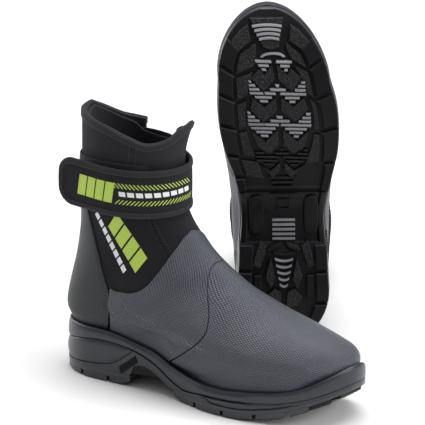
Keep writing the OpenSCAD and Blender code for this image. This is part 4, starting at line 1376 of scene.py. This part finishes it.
def heel_outsole(side):
    shape = Shape()
    plate(shape, 0.8, HEEL_END, 50, LUG_H - 0.4, lambda x: HEEL_T)
    notches = {1: [36, 67], -1: [36, 66]}
    g = 1.7
    for sign in (-1, 1):
        marks = [1.5] + notches[sign] + [HEEL_END + 1.2]
        for k in range(3):
            xa, xb = marks[k] + g * (k > 0), marks[k + 1] - g
            t = np.linspace(0, 1, 9)
            xs = xa + (xb - xa) * (t ** 2 if k == 0 else t)
            outer = [rim_point(x, sign, 0.7) for x in xs]
            inner = [(max(x, 11.5), max(6.0, float(half_w(max(x, 12))) - 12.5) * sign) for x in xs[::-1]]
            if k == 0:
                outer = [(outer[0][0], sign * 1.0)] + outer
                inner = [p for p in inner if p[0] > 12.5] + [(12.0, 1.0 * sign)]
            pad(shape, outer + inner, LUG_H + 0.3, 0, 0, 0.9, 3)
    mirror_pads(shape, [(95, 22), (90, 15), (70, 22), (73, 29)], 0.9, 1)
    mirror_pads(shape, [(81, 12), (62, 17), (50, 12), (60, 8)], 0.9, 1)
    mirror_pads(shape, [(63, 21), (63, 27.5), (41, 27), (41, 20.5)], 0.9, 0)
    mirror_pads(shape, [(47, 3), (50, 9), (42, 17), (34, 13), (30, 2)], 1.0, 1)
    for k in range(6):
        x = 85.5 - 6.1 * k
        half = 9.5 - 1.15 * k
        ts = np.linspace(-1, 1, 9)
        poly = [(x - 2.0 * (1 - t * t), half * t) for t in ts]
        poly += [(x - 2.0 * (1 - t * t) - 1.9, half * t) for t in ts[::-1]]
        pad(shape, poly, LUG_H + 0.3, 0.7, 2 if k else 0, 0.4)
    mirror_pads(shape, [(93.5, 2.5), (90.5, 12), (86.5, 16), (85.0, 12.5), (88.5, 3)], 1.2, 0)
    return build("heel_outsole", side, shape, ["tread", "stipple", "bar", "wall"], "boot",
                 ["heel_outsole"], 0, sharp=32)


def shank(side):
    """Arch piece: walls flush with the midsole, edge ribs, a small frame and light bars."""
    shape = Shape()
    rings = []
    for x in np.linspace(91.5, 140.9, 40):
        h, c = float(half_w(x)) - 1.1, float(curve(MIDDLE, x))
        lo = float(curve(SHANK_LOW, x))
        hi = max(float(line(ARCH_LOW, x)) - 0.1, lo + 0.8)
        prof = [(h, hi), (h - 0.1, mix(lo, hi, 0.5)), (h - 0.7, lo + 0.7), (h - 1.8, lo), (h - 5.5, lo),
                (h - 7.5, lo + 1.6)]
        mid = [(-12, lo + 1.7), (0, lo + 1.7), (12, lo + 1.7)]
        ring = [(-q, z) for q, z in prof] + mid + prof[::-1]
        rings.append([[x, c + q, z] for q, z in ring])
    shape.tube(rings)

    def under(poly, drop, mat, chamfer=0.35):
        poly = wound(poly)
        levels = [(poly, 2.2), (poly, 1.4 - drop + chamfer), (inset_poly(poly, chamfer), 1.4 - drop)]
        prism(shape, [np.column_stack([p, curve(SHANK_LOW, p[:, 0]) + z]) for p, z in levels], mat)

    for k in range(5):
        x = 113.5 - 4.35 * k
        if x - 2.3 > 91.6:
            under([(x, -10.5), (x, 10.5), (x - 2.3, 10.5), (x - 2.3, -10.5)], 2.2, 1)
    for x0, x1, q0, q1 in ((134, 132.4, -6, 6), (124, 122.4, -6, 6), (134, 122.4, -6, -4.4),
                           (134, 122.4, 4.4, 6)):
        under([(x0, q0), (x0, q1), (x1, q1), (x1, q0)], 1.0, 0, 0.25)
    for sign in (-1, 1):
        b = np.linspace(0, 2 * math.pi, 28, endpoint=False)
        oval = np.column_stack([118 + 19.5 * signed_pow(np.cos(b), 0.6),
                                sign * (25 + 7 * signed_pow(np.sin(b), 0.6))])
        under(oval, 2.0, 0, 0.9)
    x = 139.8
    under([(x, -12), (x, 12), (x - 1.8, 12), (x - 1.8, -12)], 0.9, 0, 0.25)
    return build("shank", side, shape, ["tread", "bar"], "boot", ["shank"], 0.3,
                 sharp=35)


def arch_badge(side):
    """A small ribbed plaque on the outer side of the arch, with no lettering."""
    shape = Shape()
    c, s = math.cos(math.radians(38)), math.sin(math.radians(38))

    def at(u, w, out):
        x = 89 + u * c - w * s
        z = 21 + u * s + w * c
        y = float(curve(MIDDLE, x)) - float(half_w(x)) - out
        return [x, y, z]

    def slab(u0, u1, w0, w1, lean, o0, o1):
        us, ws = np.meshgrid(np.linspace(0, 1, 7), np.linspace(0, 1, 4), indexing="ij")
        g = [np.array([[at(mix(u0, u1, a) + lean * b, mix(w0, w1, b), o) for a, b in zip(ra, rb)]
                       for ra, rb in zip(us, ws)]) for o in (o1, o0)]
        shape.sheet(*g)

    slab(-12.5, 11, -3.4, 3.4, 1.6, -0.4, 0.5)
    for k in range(8):
        slab(-11.0 + 2.8 * k, -9.6 + 2.8 * k, -2.6, 2.6, 1.3, 0.3, 1.1)
    return build("arch_badge", side, shape, ["tread"], "boot", ["arch_badge"], 0.2)


def insole_board(side):
    shape = Shape()
    rings = []
    for x in sole_stations(3, BASE_L - 3, 60):
        z = float(curve(FOOT, x))
        ex, ey = edge(x, -1, RAND_T + 2)
        fx, fy = edge(x, 1, RAND_T + 2)
        t = np.linspace(0, 1, 9)
        pts = [[float(mix(ex, fx, k)), float(mix(ey, fy, k)), z - 2.2] for k in t]
        pts += [[float(mix(fx, ex, k)), float(mix(fy, ey, k)), z - 0.3] for k in t]
        rings.append(pts)
    shape.tube(rings)
    return build("insole_board", side, shape, ["board"], "boot", ["insole_board"], 0.3)


# --- Stitches ---

def stitches(shape, path, normal, length=2.2, gap=1.1, r=0.28, mat=0):
    """Short thread loops along a path, each a small capsule bowed off the surface."""
    path, normal = np.asarray(path, float), np.asarray(normal, float)
    run = np.concatenate([[0], np.cumsum(np.linalg.norm(np.diff(path, axis=0), axis=1))])
    at = gap
    while at + length < run[-1]:
        ts = np.linspace(at, at + length, 6)
        p = np.column_stack([np.interp(ts, run, path[:, k]) for k in range(3)])
        n = np.column_stack([np.interp(ts, run, normal[:, k]) for k in range(3)])
        n /= np.linalg.norm(n, axis=1)[:, None] + 1e-9
        bow = np.sin(np.linspace(0, np.pi, 6))
        p = p + n * (bow * 0.38 - 0.12)[:, None]
        d = np.gradient(p, axis=0)
        d /= np.linalg.norm(d, axis=1)[:, None] + 1e-9
        b = np.cross(d, n)
        rad = r * (0.35 + 0.65 * bow)
        ring = np.linspace(0, 2 * np.pi, 6, endpoint=False)
        rings = [p[i] + rad[i] * (np.cos(ring)[:, None] * n[i] + np.sin(ring)[:, None] * b[i])
                 for i in range(6)]
        shape.tube(rings, mat=mat)
        at += length + gap


def surface_path(f, n=160):
    """Path and outward normals from f(k, o), k from 0 to 1, o outwards."""
    k = np.linspace(0, 1, n)
    p, q = f(k, 0.0), f(k, 1.0)
    return p, q - p


def seam_stitches(side):
    """Rows of stitches on the fixed parts."""
    shape = Shape()

    def by_counter(k, o, sign):
        v = mix(4.6, 9.0, k)
        return laid(v, sign * (curve(COUNTER_SIDE, v) + 3.2), RUBBER_OUT + 0.2 + o)

    rows = [
        lambda k, o: collar_at(mix(-58, 179, k), rim(mix(-58, 179, k)) - 5.6, -0.2 + 0.95 + o),
        lambda k, o: collar_at(mix(-178, -107, k), rim(mix(-178, -107, k)) - 5.6, -0.2 + 0.95 + o),
        lambda k, o: collar_at(58 + 0 * k, mix(212, 232, k), -0.2 + o),
        lambda k, o: collar_at(66 + 0 * k, mix(212, 234, k), -0.2 + o),
        lambda k, o: laid(mix(4.2, 6.9, k), 45.5 + 0 * k, KNIT_OUT - 0.15 + o),
        lambda k, o: laid(mix(4.2, 6.9, k), 40.0 + 0 * k, KNIT_OUT - 0.15 + o),
        lambda k, o: by_counter(k, o, 1),
        lambda k, o: by_counter(k, o, -1),
    ]
    for f in rows:
        stitches(shape, *surface_path(f))
    return build("seam_stitches", side, shape, ["thread"], "boot", (), 0)


def strap_stitches(side):
    """A row of stitches inside the tape along both edges and round the tab."""
    shape = Shape()
    us = strap_us()
    total = run_length(us)
    flat, inward = strap_outline()
    q = flat + inward * 4.6
    u = np.interp(q[:, 0], total, us)
    p = np.concatenate([strap_at(u, STRAP_T + 0.6), STRAP_Z + q[:, 1:]], -1)
    n = np.concatenate([strap_at(u, STRAP_T + 1.6), STRAP_Z + q[:, 1:]], -1) - p
    stitches(shape, p, n)
    obj = build("strap_stitches", side, shape, ["thread"], None, (), 0)
    bends(obj, side)


def boot(side):
    liner(side)
    footbed(side)
    insole_board(side)
    inner_stiffener(side, "toe_puff")
    inner_stiffener(side, "heel_stiffener")
    vamp(side)
    quarter(side)
    heel_counter(side)
    ankle_panel(side, "lateral_ankle_panel", 45.2, 179.8, 150)
    ankle_panel(side, "front_ankle_panel", -44.8, 44.8, 90)
    ankle_panel(side, "medial_ankle_panel", -179.8, -45.2, 150)
    collar(side)
    medial_collar_flap(side)
    gusset(side)
    binding(side, "collar_binding", -60, 179.4, 150)
    binding(side, "flap_binding", -179.4, -106, 50)
    strap_parts(side)
    strap(side)
    strap_edging(side)
    strap_print(side)
    ankle_print(side)
    rand_band(side)
    midsole(side)
    forefoot_outsole(side)
    heel_outsole(side)
    shank(side)
    arch_badge(side)
    seam_stitches(side)
    strap_stitches(side)


# --- Stage, light and camera ---

def area_light(name, at, aim, size, power):
    data = bpy.data.lights.new(name, "AREA")
    data.shape = "RECTANGLE"
    data.size, data.size_y = size
    data.energy = power
    obj = bpy.data.objects.new(name, data)
    obj.location = at
    obj.rotation_euler = direction(at, aim)
    bpy.context.scene.collection.objects.link(obj)


def direction(at, aim):
    v = mathutils.Vector(aim) - mathutils.Vector(at)
    return v.to_track_quat("-Z", "Y").to_euler()


def studio():
    mesh = bpy.data.meshes.new("floor")
    r = 14.0
    z = -0.0005
    mesh.from_pydata([(-r, -r, z), (r, -r, z), (r, r, z), (-r, r, z)], [], [(0, 1, 2, 3)])
    floor = bpy.data.objects.new("floor", mesh)
    bpy.context.scene.collection.objects.link(floor)
    m = Nodes("floor_paper", (0.92, 0.92, 0.92), 0.9)
    at = m.place(1.0)
    m.link(m.ramp(m.noise(at, 3.0), [(0.3, 0.905), (0.7, 0.925)]), "Base Color")
    mesh.materials.append(m.mat)
    world = bpy.data.worlds.new("studio")
    world.use_nodes = True
    world.node_tree.nodes["Background"].inputs[0].default_value = (1, 1, 1, 1)
    world.node_tree.nodes["Background"].inputs[1].default_value = 0.36
    bpy.context.scene.world = world
    area_light("top_light", (0.25, 0.3, 2.2), (0, 0, 0.1), (2.4, 2.0), 55)
    area_light("key_light", (1.7, -0.9, 0.95), (0.05, 0, 0.08), (1.1, 1.0), 21)
    area_light("rim_light", (-1.5, 1.1, 0.8), (0, 0, 0.15), (1.0, 1.1), 13)


CAM_TILT = 19.8
CAM_DISTANCE = 16.0
CAM_AIM = (0.00060, 0.0573, 0.1016)
PX_PER_M = 1088.0


def camera():
    data = bpy.data.cameras.new("camera")
    obj = bpy.data.objects.new("camera", data)
    e = math.radians(CAM_TILT)
    at = (CAM_AIM[0], CAM_AIM[1] - CAM_DISTANCE * math.cos(e), CAM_AIM[2] + CAM_DISTANCE * math.sin(e))
    obj.location = at
    obj.rotation_euler = direction(at, CAM_AIM)
    data.sensor_width = 36
    data.lens = PX_PER_M * CAM_DISTANCE * 36 / 425
    data.clip_start, data.clip_end = 1, 80
    bpy.context.scene.collection.objects.link(obj)
    bpy.context.scene.camera = obj


for which in ("right", "left"):
    boot(which)
studio()
camera()
bpy.context.scene.view_settings.view_transform = "Standard"
